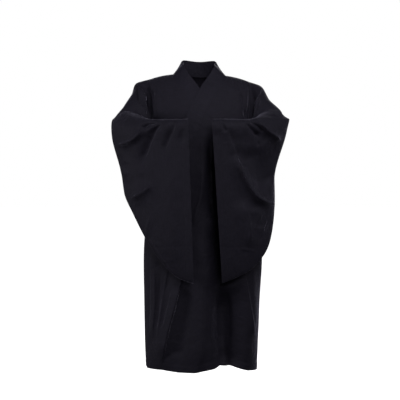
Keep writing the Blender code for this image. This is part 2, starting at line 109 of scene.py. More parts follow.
SEAM_GAP, ARMHOLE_GAP = -0.0006, 0.0006  # the walls of sewn pieces just meet
SEAM_UNDER = 0.003  # how far a front panel goes on under the half it is sewn to
SEAM_UNDER_FROM = 0.85  # the share of the panel's width that it starts at
LAP, TUCK = 0.005, 0.018  # how far the outer front stands out, and the inner in
LAP_FULL = 3.0  # the place down the sections by which the outer front stands out
TUCK_TOP, TUCK_FULL = -0.15, -0.28  # heights between which the inner goes in
PANEL_BACK = 0.0004  # how far both panels lie behind that
OUTER_END, INNER_END = math.radians(70), math.radians(58)
INNER_HEM_RISE = 0.012
BAND_SLOPE = 0.50  # metres sideways for each metre down, below the crossing

# the front's cut neck edge: how far from the middle it is at each height
NECK_EDGE = {
    "height":      (0.000, -0.030, -0.076, -0.140, -0.2075),
    "from_middle": (0.1165, 0.100, 0.066, 0.034, 0.000),
}
NECK_HALF_WIDTH, NECK_BACK_DEPTH = 0.1165, 0.062
FRONT_HEM = {
    "x": (-0.240, -0.160, -0.095, -0.030, 0.020, 0.065, 0.100, 0.135, 0.158,
          0.180, 0.200, 0.250),
    "z": (-1.276, -1.274, -1.282, -1.284, -1.278, -1.266, -1.249, -1.252,
          -1.264, -1.274, -1.281, -1.288),
}
BACK_HEM = {
    "x": (-0.245, -0.120, 0.000, 0.120, 0.255),
    "z": (-1.276, -1.270, -1.268, -1.271, -1.288),
}

# ---- the large folds, which the solids have too: ridges (+) and troughs (-) --
# each has the x and z of its two ends, its height and its width
FRONT_FORM = {
    "long_ridge":      (-0.082, -0.86, -0.165, -1.25, 0.018, 0.040),
    "beside_ridge":    (-0.040, -0.90, -0.105, -1.20, -0.006, 0.034),
    "right_edge":      (-0.205, -0.72, -0.198, -1.12, 0.008, 0.024),
    "upper_fold":      (0.000, -0.38, 0.000, -0.80, 0.010, 0.044),
    "lower_fold":      (-0.002, -0.74, 0.002, -1.26, 0.016, 0.060),
    "upper_valley":    (0.068, -0.26, 0.074, -0.62, -0.034, 0.032),
    "middle_valley":   (0.082, -0.66, 0.104, -0.90, -0.040, 0.040),
    "lower_valley":    (0.114, -0.93, 0.122, -1.26, -0.055, 0.052),
    "left_broad":      (0.190, -0.84, 0.196, -1.25, 0.010, 0.034),
    "left_side_ridge": (0.214, -0.80, 0.228, -1.12, 0.008, 0.020),
}
VALLEYS = {name: row for name, row in FRONT_FORM.items() if "valley" in name}
BACK_FORM = {
    "left_outer":   (0.196, -0.36, 0.204, -1.26, 0.012, 0.030),
    "left_trough":  (0.152, -0.46, 0.160, -1.22, -0.008, 0.030),
    "left_inner":   (0.106, -0.26, 0.122, -1.26, 0.015, 0.038),
    "middle":       (0.028, -0.44, 0.036, -1.26, 0.012, 0.036),
    "right_middle": (-0.058, -0.34, -0.072, -1.26, 0.014, 0.038),
    "right_trough": (-0.110, -0.50, -0.118, -1.22, -0.008, 0.028),
    "right_inner":  (-0.156, -0.28, -0.166, -1.26, 0.014, 0.034),
    "right_outer":  (-0.212, -0.52, -0.218, -1.24, 0.009, 0.024),
}
SLEEVE_FORM = {
    LEFT: {
        "elbow_ridge":  (0.235, -0.212, 0.345, -0.300, 0.008, 0.028),
        "crook":        (0.205, -0.235, 0.285, -0.285, -0.010, 0.028),
        "pouch_top":    (0.122, -0.235, 0.150, -0.340, 0.008, 0.028),
        "pouch_ridge":  (0.160, -0.370, 0.262, -0.540, 0.014, 0.028),
        "pouch_end":    (0.262, -0.540, 0.320, -0.560, 0.006, 0.028),
        "pouch_hollow": (0.215, -0.330, 0.290, -0.470, -0.020, 0.042),
        "lower_ridge":  (0.172, -0.560, 0.212, -0.740, 0.012, 0.030),
        "lower_hollow": (0.240, -0.640, 0.285, -0.660, -0.010, 0.032),
    },
    RIGHT: {
        "elbow_ridge":  (-0.365, -0.302, -0.255, -0.250, 0.006, 0.032),
        "crook":        (-0.262, -0.272, -0.175, -0.225, -0.007, 0.034),
        "long_trough":  (-0.172, -0.232, -0.262, -0.400, -0.006, 0.034),
        "hang_outer":   (-0.300, -0.335, -0.262, -0.560, 0.010, 0.034),
        "hang_inner":   (-0.130, -0.400, -0.128, -0.800, 0.008, 0.045),
        "low_ridge":    (-0.285, -0.535, -0.205, -0.485, 0.003, 0.028),
    },
}

# ---- the sleeves: sections across the arm, from the armhole to the cuff -------
# each has the x, y and z of its highest point and of its lowest, with x outwards,
# then turn, arm, bag and bow. turn is the way that its outer layer faces, in
# degrees from straight back round to the front; arm is its half thickness over
# the arm, bag in the hanging part below it, and bow moves its middle outwards
SLEEVES = {
    LEFT: {
        "upper_arm": (0.270, -0.020, -0.046, 0.258, -0.015, -0.400, 14, 0.056, 0.046, 0.000),
        "arm":       (0.279, -0.045, -0.092, 0.288, -0.045, -0.455, 45, 0.060, 0.034, 0.000),
        "elbow":     (0.304, -0.094, -0.147, 0.316, -0.100, -0.570, 90, 0.077, 0.020, -0.012),
        "fore":      (0.264, -0.146, -0.178, 0.294, -0.152, -0.735, 135, 0.058, 0.020, -0.006),
        "mid_fore":  (0.212, -0.192, -0.199, 0.229, -0.184, -0.830, 156, 0.038, 0.024, 0.000),
        "wrist":     (0.130, -0.222, -0.202, 0.155, -0.206, -0.874, 168, 0.036, 0.026, 0.000),
        "cuff":      (0.048, -0.252, -0.204, 0.092, -0.228, -0.897, 181, 0.034, 0.028, 0.000),
    },
    RIGHT: {
        "upper_arm": (0.284, -0.020, -0.031, 0.258, -0.015, -0.390, 14, 0.056, 0.046, 0.000),
        "arm":       (0.276, -0.045, -0.062, 0.285, -0.040, -0.430, 45, 0.054, 0.034, 0.000),
        "elbow":     (0.303, -0.094, -0.154, 0.326, -0.100, -0.500, 90, 0.078, 0.020, 0.000),
        "fore":      (0.264, -0.146, -0.180, 0.284, -0.150, -0.615, 135, 0.058, 0.020, 0.006),
        "mid_fore":  (0.212, -0.192, -0.200, 0.204, -0.184, -0.760, 156, 0.038, 0.024, 0.003),
        "wrist":     (0.134, -0.223, -0.203, 0.112, -0.206, -0.865, 168, 0.036, 0.026, 0.000),
        "cuff":      (0.054, -0.252, -0.204, 0.030, -0.228, -0.899, 182, 0.034, 0.028, 0.000),
    },
}
RING_EVENNESS = 0.45  # 1 spaces a section's points evenly down, 0 as on a circle
ARM_FADE = 2.2  # how far below the arm its roundness goes on, in half thicknesses
BAG_FULL = 3.0  # where the hanging part has its full thickness, in the same
ARMHOLE_FOLD = 0.17  # radians over which the armhole opens from its two folds
SLEEVE_FOLDS = (2.6, 4.0)  # sections between which the large folds start
# the elbow's pointed fold, seen from the front: its height, how far it goes on
# above and below that, and how far it stands out (+) or is drawn in (-)
ELBOW_EDGE = {
    LEFT: {
        "tip":   (-0.186, 0.007, 0.026, 0.014),
        "above": (-0.164, 0.016, 0.012, -0.006),
    },
    RIGHT: {
        "tip":   (-0.190, 0.008, 0.028, 0.007),
        "above": (-0.137, 0.026, 0.022, -0.008),
    },
}

# ---- the band: which way its free edge goes from its sewn edge ------------------
# run goes from the middle of the back (0) along one half; then come how far the
# free edge goes inwards, back and up, and how flat the band lies on the body
BAND_STANDS = {
    "back":       (0.00, 0.00, -0.10, 1.02, 0.0),
    "nape":       (0.10, 0.18, -0.16, 1.00, 0.0),
    "neck_side":  (0.20, 0.70, -0.10, 0.80, 0.0),
    "collarbone": (0.30, 0.74, -0.02, 0.74, 0.0),
    "throat":     (0.38, 0.80, 0.16, 0.62, 0.0),
    "breast":     (0.50, 0.88, 0.16, 0.47, 1.0),
    "crossing":   (0.60, 0.89, 0.00, 0.45, 1.0),
    "chest":      (0.80, 0.89, 0.00, 0.45, 1.0),
    "end":        (1.00, 0.89, 0.00, 0.45, 1.0),
}
BAND_CREST, BAND_CROSSING = 0.20, 0.60  # runs at the shoulder and the crossing
BAND_END = 0.42  # how far across a front panel the band ends
BAND_LEAN = 0.03  # to the robe's right, where it stands
BAND_GAP = -0.0025  # the band covers the edge that it is sewn to
BAND_OUTER_OUT, BAND_INNER_OUT = 0.0058, -0.0002

# ---- the ties: each point has its angle round the body from the middle of the
# front, its height, and how far out of the body it lies
TIES = {
    "tie_front": (
        (63.0, -0.446, 0.0084), (70.0, -0.449, 0.0082), (76.0, -0.452, 0.0070),
        (80.0, -0.455, 0.0055), (81.0, -0.472, 0.0045), (80.6, -0.520, 0.0040),
        (80.0, -0.580, 0.0040), (80.6, -0.640, 0.0040),
    ),
    "tie_side": (
        (104.0, -0.447, 0.0049), (96.0, -0.450, 0.0049), (90.0, -0.453, 0.0049),
        (86.6, -0.456, 0.0049), (85.8, -0.473, 0.0049), (86.4, -0.515, 0.0044),
        (87.2, -0.565, 0.0044), (86.6, -0.612, 0.0044),
    ),
}

# ---- creases, in millimetres across and up as the view sees them -------------
# path: the crease's line. height: + for a ridge. left, right: its width on
# each side of the line as one walks along it. sharp: 1 is a pressed edge, 2 a
# soft fold. Each crease is its path, height, left, right and sharp.
TOP_CREASES = {
    "arm_pull":      (((-266, -60), (-241, -115), (-213, -190)), -8, 8, 11, 1.5),
    "armhole_right": (((-206, -36), (-210, -93), (-197, -190)), -8, 8, 9, 1.5),
    "chest_right":   (((-181, -76), (-175, -110), (-168, -152)), -4.5, 8, 8, 1.6),
    "cap_right":     (((-241, -22), (-224, -53), (-215, -84)), -4, 8, 9, 1.6),
    "neck_right":    (((-126, -22), (-117, -84)), -1.5, 10, 14, 2),
    "shoulder_tuck": (((-262, -36), (-246, -46), (-232, -60)), -3.5, 6, 7, 1.6),
    "cap_fold_l1":   (((180, -66), (193, -124), (202, -190)), -7, 8, 8, 1.5),
    "cap_fold_l2":   (((219, -31), (219, -102), (212, -190)), -7, 6, 7, 1.4),
    "cap_fold_l3":   (((246, -82), (231, -140), (222, -190)), -6, 8, 9, 1.5),
    "fold_knot":     (((208, -146), (207, -190)), -4, 16, 15, 2),
    "pleat_l1":      (((144, -13), (160, -53)), -4, 5, 6, 1.5),
    "pleat_l2":      (((162, -18), (173, -64)), -3, 5, 6, 1.6),
    "pleat_l3":      (((184, -18), (193, -49)), -3, 5, 6, 1.6),
    "pleat_l4":      (((200, -22), (205, -56)), -3.5, 5, 6, 1.6),
    "elbow_tuck":    (((-334, -146), (-312, -148), (-284, -146)), -6, 6, 7, 1.4),
    "elbow_puff":    (((-360, -178), (-330, -162), (-296, -164)), 4, 10, 12, 1.8),
    "arm_ripple_1":  (((262, -120), (290, -126), (322, -140)), -1.6, 5, 6, 1.8),
    "arm_ripple_2":  (((255, -142), (299, -149), (343, -155)), 1.6, 5, 7, 1.8),
    "arm_ripple_3":  (((262, -166), (308, -171), (356, -177)), -1.6, 5, 6, 1.8),
}
SLEEVE_CREASES = {
    "r_elbow_ridge": (
        ((-368, -301), (-330, -290), (-300, -276), (-277, -254), (-259, -226)),
        19, 6, 12, 1.2,
    ),
    "r_crook_upper": (((-262, -236), (-236, -210), (-190, -192)), -14, 8, 10, 1.5),
    "r_crook_mid":   (((-242, -244), (-210, -222), (-180, -204)), 5, 8, 10, 1.6),
    "r_crook_long":  (((-162, -194), (-199, -232), (-228, -296), (-262, -385)), -16, 8, 16, 1.5),
    "r_crook_short": (((-113, -190), (-126, -240), (-150, -292), (-166, -337)), -11, 8, 15, 1.6),
    "r_wrist_soft":  (((-64, -195), (-78, -248), (-86, -306)), -3, 12, 14, 2),
    "r_low_crease":  (((-306, -540), (-277, -523), (-241, -501), (-214, -478)), 13, 6, 10, 1.2),
    "r_low_hollow":  (((-339, -483), (-295, -461), (-233, -443)), -3, 22, 22, 1.9),
    "r_side_crease": (((-241, -713), (-237, -669), (-224, -620)), 4, 6, 10, 1.3),
    "r_press":       (((-230, -757), (-113, -753), (-38, -751)), -1.3, 3, 3, 1.4),
    "r_low_edge":    (((-240, -702), (-182, -790), (-134, -856), (-100, -884)), 2.5, 4, 4, 1.5),
    "r_puff":        (((-365, -324), (-339, -350), (-326, -390)), 5, 14, 16, 1.8),
    "r_edge_puff":   (((-352, -403), (-326, -439)), 4, 12, 14, 1.8),
    "l_elbow_ridge": (((246, -200), (277, -222), (304, -246), (357, -288)), 18, 12, 6, 1.2),
    "l_crook_1":     (((219, -192), (250, -214), (288, -246)), -13, 8, 8, 1.5),
    "l_crook_2":     (((206, -200), (228, -232), (262, -268)), -11, 8, 9, 1.5),
    "l_crook_3":     (((84, -190), (100, -213), (115, -246)), -8, 8, 9, 1.6),
    "l_crook_4":     (((250, -240), (252, -280), (262, -310)), -5, 9, 9, 1.7),
    "l_pouch_dark":  (((122, -213), (140, -270), (166, -332), (188, -394)), -8, 20, 9, 1.6),
    "l_pouch_ridge": (
        (
            (158, -350), (180, -405), (204, -456), (230, -503),
            (260, -537), (295, -556), (330, -562),
        ),
        26, 8, 12, 1.2,
    ),
    "l_pouch_deep":  (((192, -324), (222, -390), (262, -456), (302, -510)), -11, 30, 38, 1.9),
    "l_low_ridge":   (((179, -558), (202, -598), (215, -656), (222, -744)), 8, 14, 14, 1.4),
    "l_puff_1":      (((214, -606), (244, -600), (278, -622)), 6, 16, 22, 1.9),
    "l_puff_wide":   (((236, -646), (292, -664)), 9, 26, 26, 2),
    "l_puff_2":      (((246, -690), (268, -680), (286, -704)), 2, 16, 16, 2),
    "l_wedge":       (((236, -640), (262, -656), (296, -650)), -4, 12, 14, 1.8),
    "l_low_crease":  (((175, -758), (210, -766), (246, -775)), 3, 6, 6, 1.4),
    "l_press":       (((80, -753), (153, -755), (219, -758)), -1.3, 3, 3, 1.4),
}
SKIRT_CREASES = {
    "long_ridge":    (((-84, -900), (-111, -1010), (-142, -1134), (-168, -1262)), 23, 3, 36, 1.2),
    "beside_ridge":  (((-126, -920), (-150, -1020), (-176, -1130)), -6, 10, 9, 1.6),
    "streak_1":      (((-204, -860), (-200, -1000), (-208, -1150)), 9, 5, 12, 1.4),
    "streak_2":      (((-146, -850), (-158, -960), (-174, -1080), (-184, -1170)), 8, 5, 12, 1.4),
    "streak_3":      (((-180, -880), (-184, -1010), (-192, -1120)), -6, 7, 7, 1.6),
    "narrow_1":      (((-228, -766), (-228, -944), (-226, -1121)), -4, 6, 8, 1.7),
    "right_ridge":   (((194, -850), (203, -922), (224, -1054), (240, -1165)), 12, 6, 24, 1.4),
    "valley_a":      (((118, -930), (126, -1054), (124, -1192)), -5, 10, 18, 1.6),
    "valley_b":      (((80, -860), (84, -960), (86, -1080), (84, -1220)), -16, 28, 52, 1.8),
    "hem_recess":    (((-20, -1300), (60, -1310), (150, -1300)), -14, 130, 130, 2),
    "centre_press":  (((40, -900), (44, -1054), (42, -1187)), -3, 8, 10, 1.8),
    "press_upper":   (((-237, -873), (-188, -873), (-135, -871)), 1.0, 3, 3, 1.4),
    "press_lower":   (((-233, -1178), (-157, -1178), (-73, -1178)), 1.0, 3, 3, 1.4),
    "hem_turn":      (((-166, -1254), (-113, -1218), (-64, -1214)), -3, 10, 14, 1.6),
    "centre_fold":   (((14, -380), (2, -520), (-20, -605), (-34, -680)), 9, 16, 24, 1.6),
    "centre_hollow": (((2, -430), (-12, -540), (-32, -600), (-42, -670)), -2, 5, 10, 1.6),
    "right_gap": (
        ((70, -190), (72, -400), (78, -600), (94, -730), (106, -860)),
        -18, 18, 17, 1.7,
    ),
}
BACK_CREASES = {
    "yoke_left":     (((60, -60), (96, -180), (108, -330)), -4, 16, 18, 1.8),
    "yoke_right":    (((-70, -70), (-104, -190), (-120, -320)), -4, 18, 16, 1.8),
    "blade_left":    (((196, -60), (180, -170), (186, -300)), -6, 12, 12, 1.6),
    "blade_right":   (((-200, -54), (-186, -160), (-192, -290)), -6, 12, 12, 1.6),
    "seat_left":     (((78, -520), (70, -820), (84, -1230)), -6, 18, 14, 1.7),
    "seat_right":    (((-24, -560), (-14, -860), (-20, -1240)), -6, 14, 18, 1.7),
    "hip_left":      (((160, -620), (176, -800), (170, -1000)), -5, 14, 14, 1.7),
    "hip_right":     (((-146, -500), (-134, -760), (-142, -1110)), -5, 14, 16, 1.7),
    "press_upper":   (((-236, -872), (0, -870), (238, -874)), 1.2, 3, 3, 1.4),
}
SLEEVE_BACK_CREASES = {
    "r_drape_1":     (((-330, -230), (-300, -330), (-250, -470)), -10, 18, 22, 1.8),
    "r_drape_2":     (((-270, -230), (-220, -360), (-190, -560)), -8, 18, 20, 1.8),
    "r_drape_3":     (((-190, -240), (-150, -400), (-130, -640)), 6, 20, 16, 1.6),
    "l_drape_1":     (((335, -240), (300, -350), (240, -480)), -10, 20, 18, 1.8),
    "l_drape_2":     (((262, -240), (220, -380), (200, -600)), -8, 18, 20, 1.8),
    "l_drape_3":     (((180, -240), (150, -420), (140, -700)), 6, 16, 20, 1.6),
    "cap_right":     (((-262, -60), (-250, -150), (-262, -260)), -6, 12, 14, 1.7),
    "cap_left":      (((250, -80), (240, -170), (258, -280)), -6, 12, 14, 1.7),
}
EYE_DISTANCE, EYE_HEIGHT = 5.0, -0.545  # where the front view is seen from

# ---- how folds and creases meet the cloth round them --------------------------
FOLD_RISE, FOLD_FALL = (-0.15, 0.25), (-1.15, -0.85)  # shares of a fold's length
CREASE_POINTS = 6  # points on the curve for each corner of a crease's path
CREASE_REACH = 3.2  # how far a crease acts, in its own widths
CREASE_FADE = 0.22  # share of its length over which a crease fades at each end
CREASE_END = 0.12  # the share of its height that it keeps there
CREASE_CAP = 0.6  # how far it goes on past its ends, in its own widths
FACING = (0.05, 0.5)  # how far cloth faces a view, from no creases to full ones
SEAM_FADE = 0.12  # share of a half's width over which folds fade into its seam
RIGHT_COVERED = (-0.36, -0.26)  # heights where the right half goes under the lap
EDGE_FADE = 0.05  # share of a sleeve's length over which creases start
ELBOW_FACING = (0.4, 0.95)  # how far cloth faces outwards to be in the elbow's fold
ELBOW_SHARP = 1.4
# the waves of the soft unevenness: radians a metre across and up, phase, size
RIPPLES = (
    (31, 9, 0.4, 1.0), (-17, 14, 2.1, 0.8), (46, -7, 4.0, 0.7),
    (12, 38, 1.3, 0.6), (-58, 21, 5.2, 0.45), (23, -55, 3.3, 0.4),
)

# ---- the cloth: columns and rows of each piece's grid, and the flat cuts -------
HALF_GRID, SLEEVE_GRID, BAND_GRID, TIE_GRID = (84, 500), (256, 186), (44, 220), (8, 90)
OUTER_FRONT_GRID, INNER_FRONT_GRID = (140, 200), (36, 110)
OUTER_LAYER = 0.68  # share of a sleeve's columns on the outer layer, which shows
HALF_FRONT, HALF_NAPE = 0.52, 0.08  # shares of a half's rows: front, round the neck
HALF_MEAN_WIDTH = 0.37  # for the UV map
HEM_LIFT, CUFF_LIFT, HEM_EDGE = 0.0009, 0.0004, 0.0012  # the doubled cloth's step
HEM_PINCH, HEM_PINCH_WIDTH = 0.0007, 0.0022  # where its stitches pull it in
HEM_SEAM = 0.001  # from the hem's edge down to its stitches
SEAM_COLUMN = -3  # the grid's column that the stitches beside a seam follow
ARMHOLE_ROWS = (0.30, 0.72)  # shares of a half's rows that are beside the armhole
QUILT_FIRST, QUILT_SPREAD = 0.07, 0.86  # where the band's stitches lie across it
QUILT_DEPTH, QUILT_WIDTH, QUILT_LIFT = 0.0002, 0.0016, 0.0001
BAND_EDGE = 0.0007  # how round the band's edges are
TIE_WALL, TIE_CREASE = 0.0016, 0.0003  # thickness, and depth of the middle crease
KNOT_SIZE, KNOT_WRAPS = 0.95, 0.05  # the folds' middle and height, by the node's size
THREAD_THICKNESS = 0.0006
STITCH_SHARE = 0.78  # of a stitch's step: the rest is the gap to the next

# ---- the lights: place, width, and the setting and share of it for the power ---
LIGHTS = {
    "key":        ((0.6, -1.9, 1.45), 1.3, "key", 1.0),
    "fill":       ((0.7, -4.2, 0.7), 1.2, "fill", 1.0),
    "side_left":  ((3.0, -1.1, 0.8), 1.2, "side", 0.45),
    "side_right": ((-3.0, -1.3, -0.2), 1.2, "side", 1.0),
    "back":       ((0.9, 3.4, 1.6), 1.4, "back", 1.0),
}
LIT_HEIGHT = -0.25  # what the lights point at
CAMERA_X = -0.0022
FLOOR_DROP, FLOOR_RADIUS = 0.09, 120  # below the lowest hem, where feet would be


def linear(hex_colour):
    """A hex colour as the linear numbers that Blender works in."""
    parts = [int(hex_colour[i:i + 2], 16) / 255 for i in (1, 3, 5)]
    return tuple(c / 12.92 if c <= 0.04045 else ((c + 0.055) / 1.055) ** 2.4 for c in parts)


# ---- settings -----------------------------------------------------------------
def metres(name, description, default, least, most):
    """A setting in metres."""
    return FloatProperty(
        name=name, description=description, default=default, min=least, max=most,
        unit="LENGTH",
    )


def tint(name, description, hex_colour):
    """A colour's setting."""
    return FloatVectorProperty(
        name=name, description=description, default=linear(hex_colour), min=0, max=1,
        subtype="COLOR",
    )


def watts(name, description, default):
    """A light's setting in watts."""
    return FloatProperty(
        name=name, description=description, default=default, min=0, unit="POWER"
    )


class RobeSizes(PropertyGroup):
    cloth_wall: metres(
        "Cloth wall", "Thickness of the body and sleeves", 0.0022, 0.0005, 0.004
    )
    band_wall: metres(
        "Band wall", "Thickness of the layered collar band", 0.0030, 0.001, 0.006
    )
    band_width: metres(
        "Band width", "From its sewn edge to its free edge", 0.066, 0.03, 0.10
    )
    tie_width: metres("Tie width", "Width of each tie", 0.011, 0.005, 0.02)
    hem: metres("Hem", "Depth of the turned-up hems and cuffs", 0.030, 0.01, 0.08)
    crease_depth: FloatProperty(
        name="Crease depth", description="Share of each crease's full height",
        default=1.0, min=0.0, max=2.0, subtype="FACTOR",
    )
    ripple: metres("Ripple", "Height of the cloth's soft unevenness", 0.0007, 0.0, 0.004)
    stitch: metres("Stitch", "Length of one stitch and its gap", 0.0042, 0.002, 0.008)
    quilting: IntProperty(
        name="Band rows", description="Rows of stitching along the collar band",
        default=5, min=0, max=9,
    )


class RobeColours(PropertyGroup):
    cloth: tint("Cloth", "Body and sleeves", "#0d0c12")
    cloth_high: tint(
        "Cloth, lighter threads", "Slubs that catch the light", "#14121b"
    )
    band: tint("Band", "The pressed collar band and the ties", "#0c0b12")
    thread: tint("Thread", "Sewing thread", "#0c0b11")


class RobeStage(PropertyGroup):
    lens: FloatProperty(
        name="Lens", description="Focal length for a 36 mm sensor",
        default=101.6, min=20, max=300, unit="CAMERA",
    )
    key: watts("Key light", "Power of the large light above the front", 40.0)
    fill: watts("Fill light", "Power of the light beside the camera", 56.0)
    side: watts(
        "Side lights", "Power at the robe's right; the left has less than half", 56.0
    )
    back: watts("Back light", "Power of the light behind the robe", 30.0)
    studio: FloatProperty(
        name="Studio", description="Brightness of the room round the robe",
        default=0.12, min=0, max=2,
    )
    white_backdrop: BoolProperty(
        name="White backdrop", description="Shows the room behind the robe as white",
        default=True,
    )


# ---- working out points -------------------------------------------------------
def rows_between(rows, place):
    """The rows of a table at places between its rows, on a smooth curve."""
    rows = np.asarray(rows, float)
    place = np.clip(np.asarray(place, float), 0, len(rows) - 1.0)
    i = np.minimum(place.astype(int), len(rows) - 2)
    t = (place - i).reshape(place.shape + (1,) * (rows.ndim - 1))
    ends = np.concatenate([2 * rows[:1] - rows[1:2], rows, 2 * rows[-1:] - rows[-2:-1]])
    before, a, b, after = (ends[i + k] for k in range(4))
    return (
        a
        + 0.5 * t * (b - before)
        + t * t * (before - 2.5 * a + 2 * b - 0.5 * after)
        + 0.5 * t**3 * (after - before + 3 * (a - b))
    )


def ramp(value, start, end):
    """A smooth rise from 0 at start to 1 at end."""
    t = np.clip((value - start) / (end - start), 0.0, 1.0)
    return t * t * (3 - 2 * t)


def unit(vectors):
    """Vectors along the last axis, made one long."""
    return vectors / np.maximum(np.linalg.norm(vectors, axis=-1, keepdims=True), 1e-12)


def length_of(line):
    """The length of a line of points, or of each column of a grid."""
    return np.linalg.norm(np.diff(line, axis=0), axis=-1).sum(0)


def form_height(x, z, folds):
    """How far the large folds of one view lift the cloth."""
    lift = np.zeros(np.broadcast(x, z).shape)
    for x0, z0, x1, z1, height, width in folds.values():
        run = (x1 - x0) ** 2 + (z1 - z0) ** 2
        t = ((x - x0) * (x1 - x0) + (z - z0) * (z1 - z0)) / run
        along = ramp(t, *FOLD_RISE) * ramp(-t, *FOLD_FALL)
        near = np.clip(t, 0.0, 1.0)
        away = np.hypot(x - x0 - near * (x1 - x0), z - z0 - near * (z1 - z0))
        lift += height * along * np.exp(-((away / width) ** 2))
    return lift


def crease_height(across, up, creases):
    """How far the creases of one view lift the cloth at places in that view."""
    lift = np.zeros(across.shape)
    for path, height, left, right, sharp in creases.values():
        corners = np.array(path, float) / 1000
        places = np.linspace(0, len(corners) - 1, CREASE_POINTS * len(corners))
        line = rows_between(corners, places)
        reach = CREASE_REACH * max(left, right) / 1000
        low, high = line.min(0) - reach, line.max(0) + reach
        near = (across > low[0]) & (across < high[0]) & (up > low[1]) & (up < high[1])
        if not near.any():
            continue
        place = np.stack([across[near], up[near]], axis=-1)
        steps = np.diff(line, axis=0)
        lengths = np.hypot(*steps.T)
        starts = np.concatenate([[0.0], np.cumsum(lengths)])
        best = np.full(len(place), 1e9)
        side, run = np.zeros(len(place)), np.zeros(len(place))
        for a, step, length, start in zip(line, steps, lengths, starts):
            rel = place - a
            t = np.clip(rel @ step / length**2, 0, 1)
            away = np.hypot(*(rel - t[:, None] * step).T)
            closer = away < best
            best = np.where(closer, away, best)
            side = np.where(closer, step[0] * rel[:, 1] - step[1] * rel[:, 0], side)
            run = np.where(closer, (start + t * length) / starts[-1], run)
        width = np.where(side > 0, left, right) / 1000
        ends = ramp(run, 0.0, CREASE_FADE) * ramp(1 - run, 0.0, CREASE_FADE)
        ends = CREASE_END + (1 - CREASE_END) * ends
        profile = np.exp(-((best / width) ** sharp))
        cap = np.exp(-((best / (CREASE_CAP * width)) ** 2))
        cap = np.where((run <= 0) | (run >= 1), cap, 1)
        lift[near] += height / 1000 * profile * ends * cap
    return lift


def ripples(across, up):
    """The soft unevenness of hanging cloth, from -1 to 1."""
    return sum(
        size * np.sin(kx * across + kz * up + phase + 0.8 * np.sin(11 * across - 7 * up))
        for kx, kz, phase, size in RIPPLES
    ) / sum(size for *_, size in RIPPLES)


# ---- the body's form ----------------------------------------------------------
def level(place):
    """The level section at each place down the table, by column."""
    table = rows_between(list(LEVELS.values()), place)
    return dict(zip(LEVEL_COLUMNS, np.moveaxis(table, -1, 0)))


def height_at(row, place, x, face):
    """How high a level section is at x."""
    across = (x - row["centre"]) / row["half_width"]
    middle = np.where(face == FRONT, row["front_z"], row["back_z"])
    tilt = SHOULDER_TILT * x * np.maximum(1 - place / ARMPIT, 0.0)
    return middle - row["drop"] * np.minimum(np.abs(across), 1.0) ** 3 - tilt


def body_point(side, angle, place, face, out=0.0, hem_rise=0.0):
    """Points of the body's form: side is LEFT or RIGHT, angle goes from the
    middle (0) to the side, place runs down the level sections and face is FRONT
    or BACK. out moves them away from the form."""
    side, angle, place, face, out = np.broadcast_arrays(side, angle, place, face, out)
    row = level(place)
    across = np.sin(angle) ** (2 / ROUNDNESS)
    depth = np.where(face == FRONT, row["front"], row["back"])
    inward = np.maximum(np.cos(angle), 0.0) ** (2 / ROUNDNESS)
    edge = np.maximum(row["edge"], 0.0)
    x = row["centre"] + side * row["half_width"] * across
    y = face * depth * (edge + (1 - edge) * inward)
    z = height_at(row, place, x, face)
    armpit = LEVELS["armpit"][0]
    hem = np.where(
        face == FRONT,
        np.interp(x, FRONT_HEM["x"], FRONT_HEM["z"]),
        np.interp(x, BACK_HEM["x"], BACK_HEM["z"]),
    ) + hem_rise
    lower = armpit + (z - armpit) * (hem - armpit) / (LEVELS["hem"][0] - armpit)
    z = np.where(z < armpit, lower, z)
    away = np.stack([side * np.sin(angle), face * np.cos(angle), 0 * angle], axis=-1)
    return np.stack([x, y, z], axis=-1) + out[..., None] * away


def place_of(x, z, face=FRONT):
    """The places down the level sections of points of the form, found by halving."""
    x, z = np.broadcast_arrays(np.asarray(x, float), np.asarray(z, float))
    low, high = np.zeros(x.shape), np.full(x.shape, float(HEM))
    for _ in range(24):
        middle = (low + high) / 2
        above = height_at(level(middle), middle, x, face) > z
        low, high = np.where(above, middle, low), np.where(above, high, middle)
    return (low + high) / 2


def angle_at(x, place):
    """The angle from the middle at which a level section reaches x."""
    row = level(place)
    across = np.minimum(np.abs(x - row["centre"]) / row["half_width"], 1.0)
    return np.arcsin(across ** (ROUNDNESS / 2))


def outer_out(z, angle):
    """How far the outer front stands out of the form."""
    return LAP


def inner_out(z, angle=0.0):
    """How far the inner front stands out, which is inwards."""
    return -TUCK * ramp(-z, -TUCK_TOP, -TUCK_FULL) * np.cos(angle)


def neck_end():
    """The place at which the front's neck edge reaches the middle."""
    return float(place_of(0.0, NECK_EDGE["height"][-1]))


def nape_place(share):
    """Places from the crest (0) down to the back of the neck (1)."""
    return NECK * np.sin(math.pi / 2 * share)


def neck_angle(place, face):
    """The angle at which a half's cut edge runs, round the neck and below it."""
    row = level(place)
    depth = np.minimum(row["back"] / NECK_BACK_DEPTH, 1.0)
    back_x = np.where(place < NECK, NECK_HALF_WIDTH * np.sqrt(1 - depth**2), 0.0)
    heights = [-h for h in NECK_EDGE["height"]]
    front_x = np.interp(-row["front_z"], heights, NECK_EDGE["from_middle"])
    x = np.where(face == BACK, back_x, front_x)
    return np.arcsin(np.minimum(x / row["half_width"], 1.0) ** (ROUNDNESS / 2))


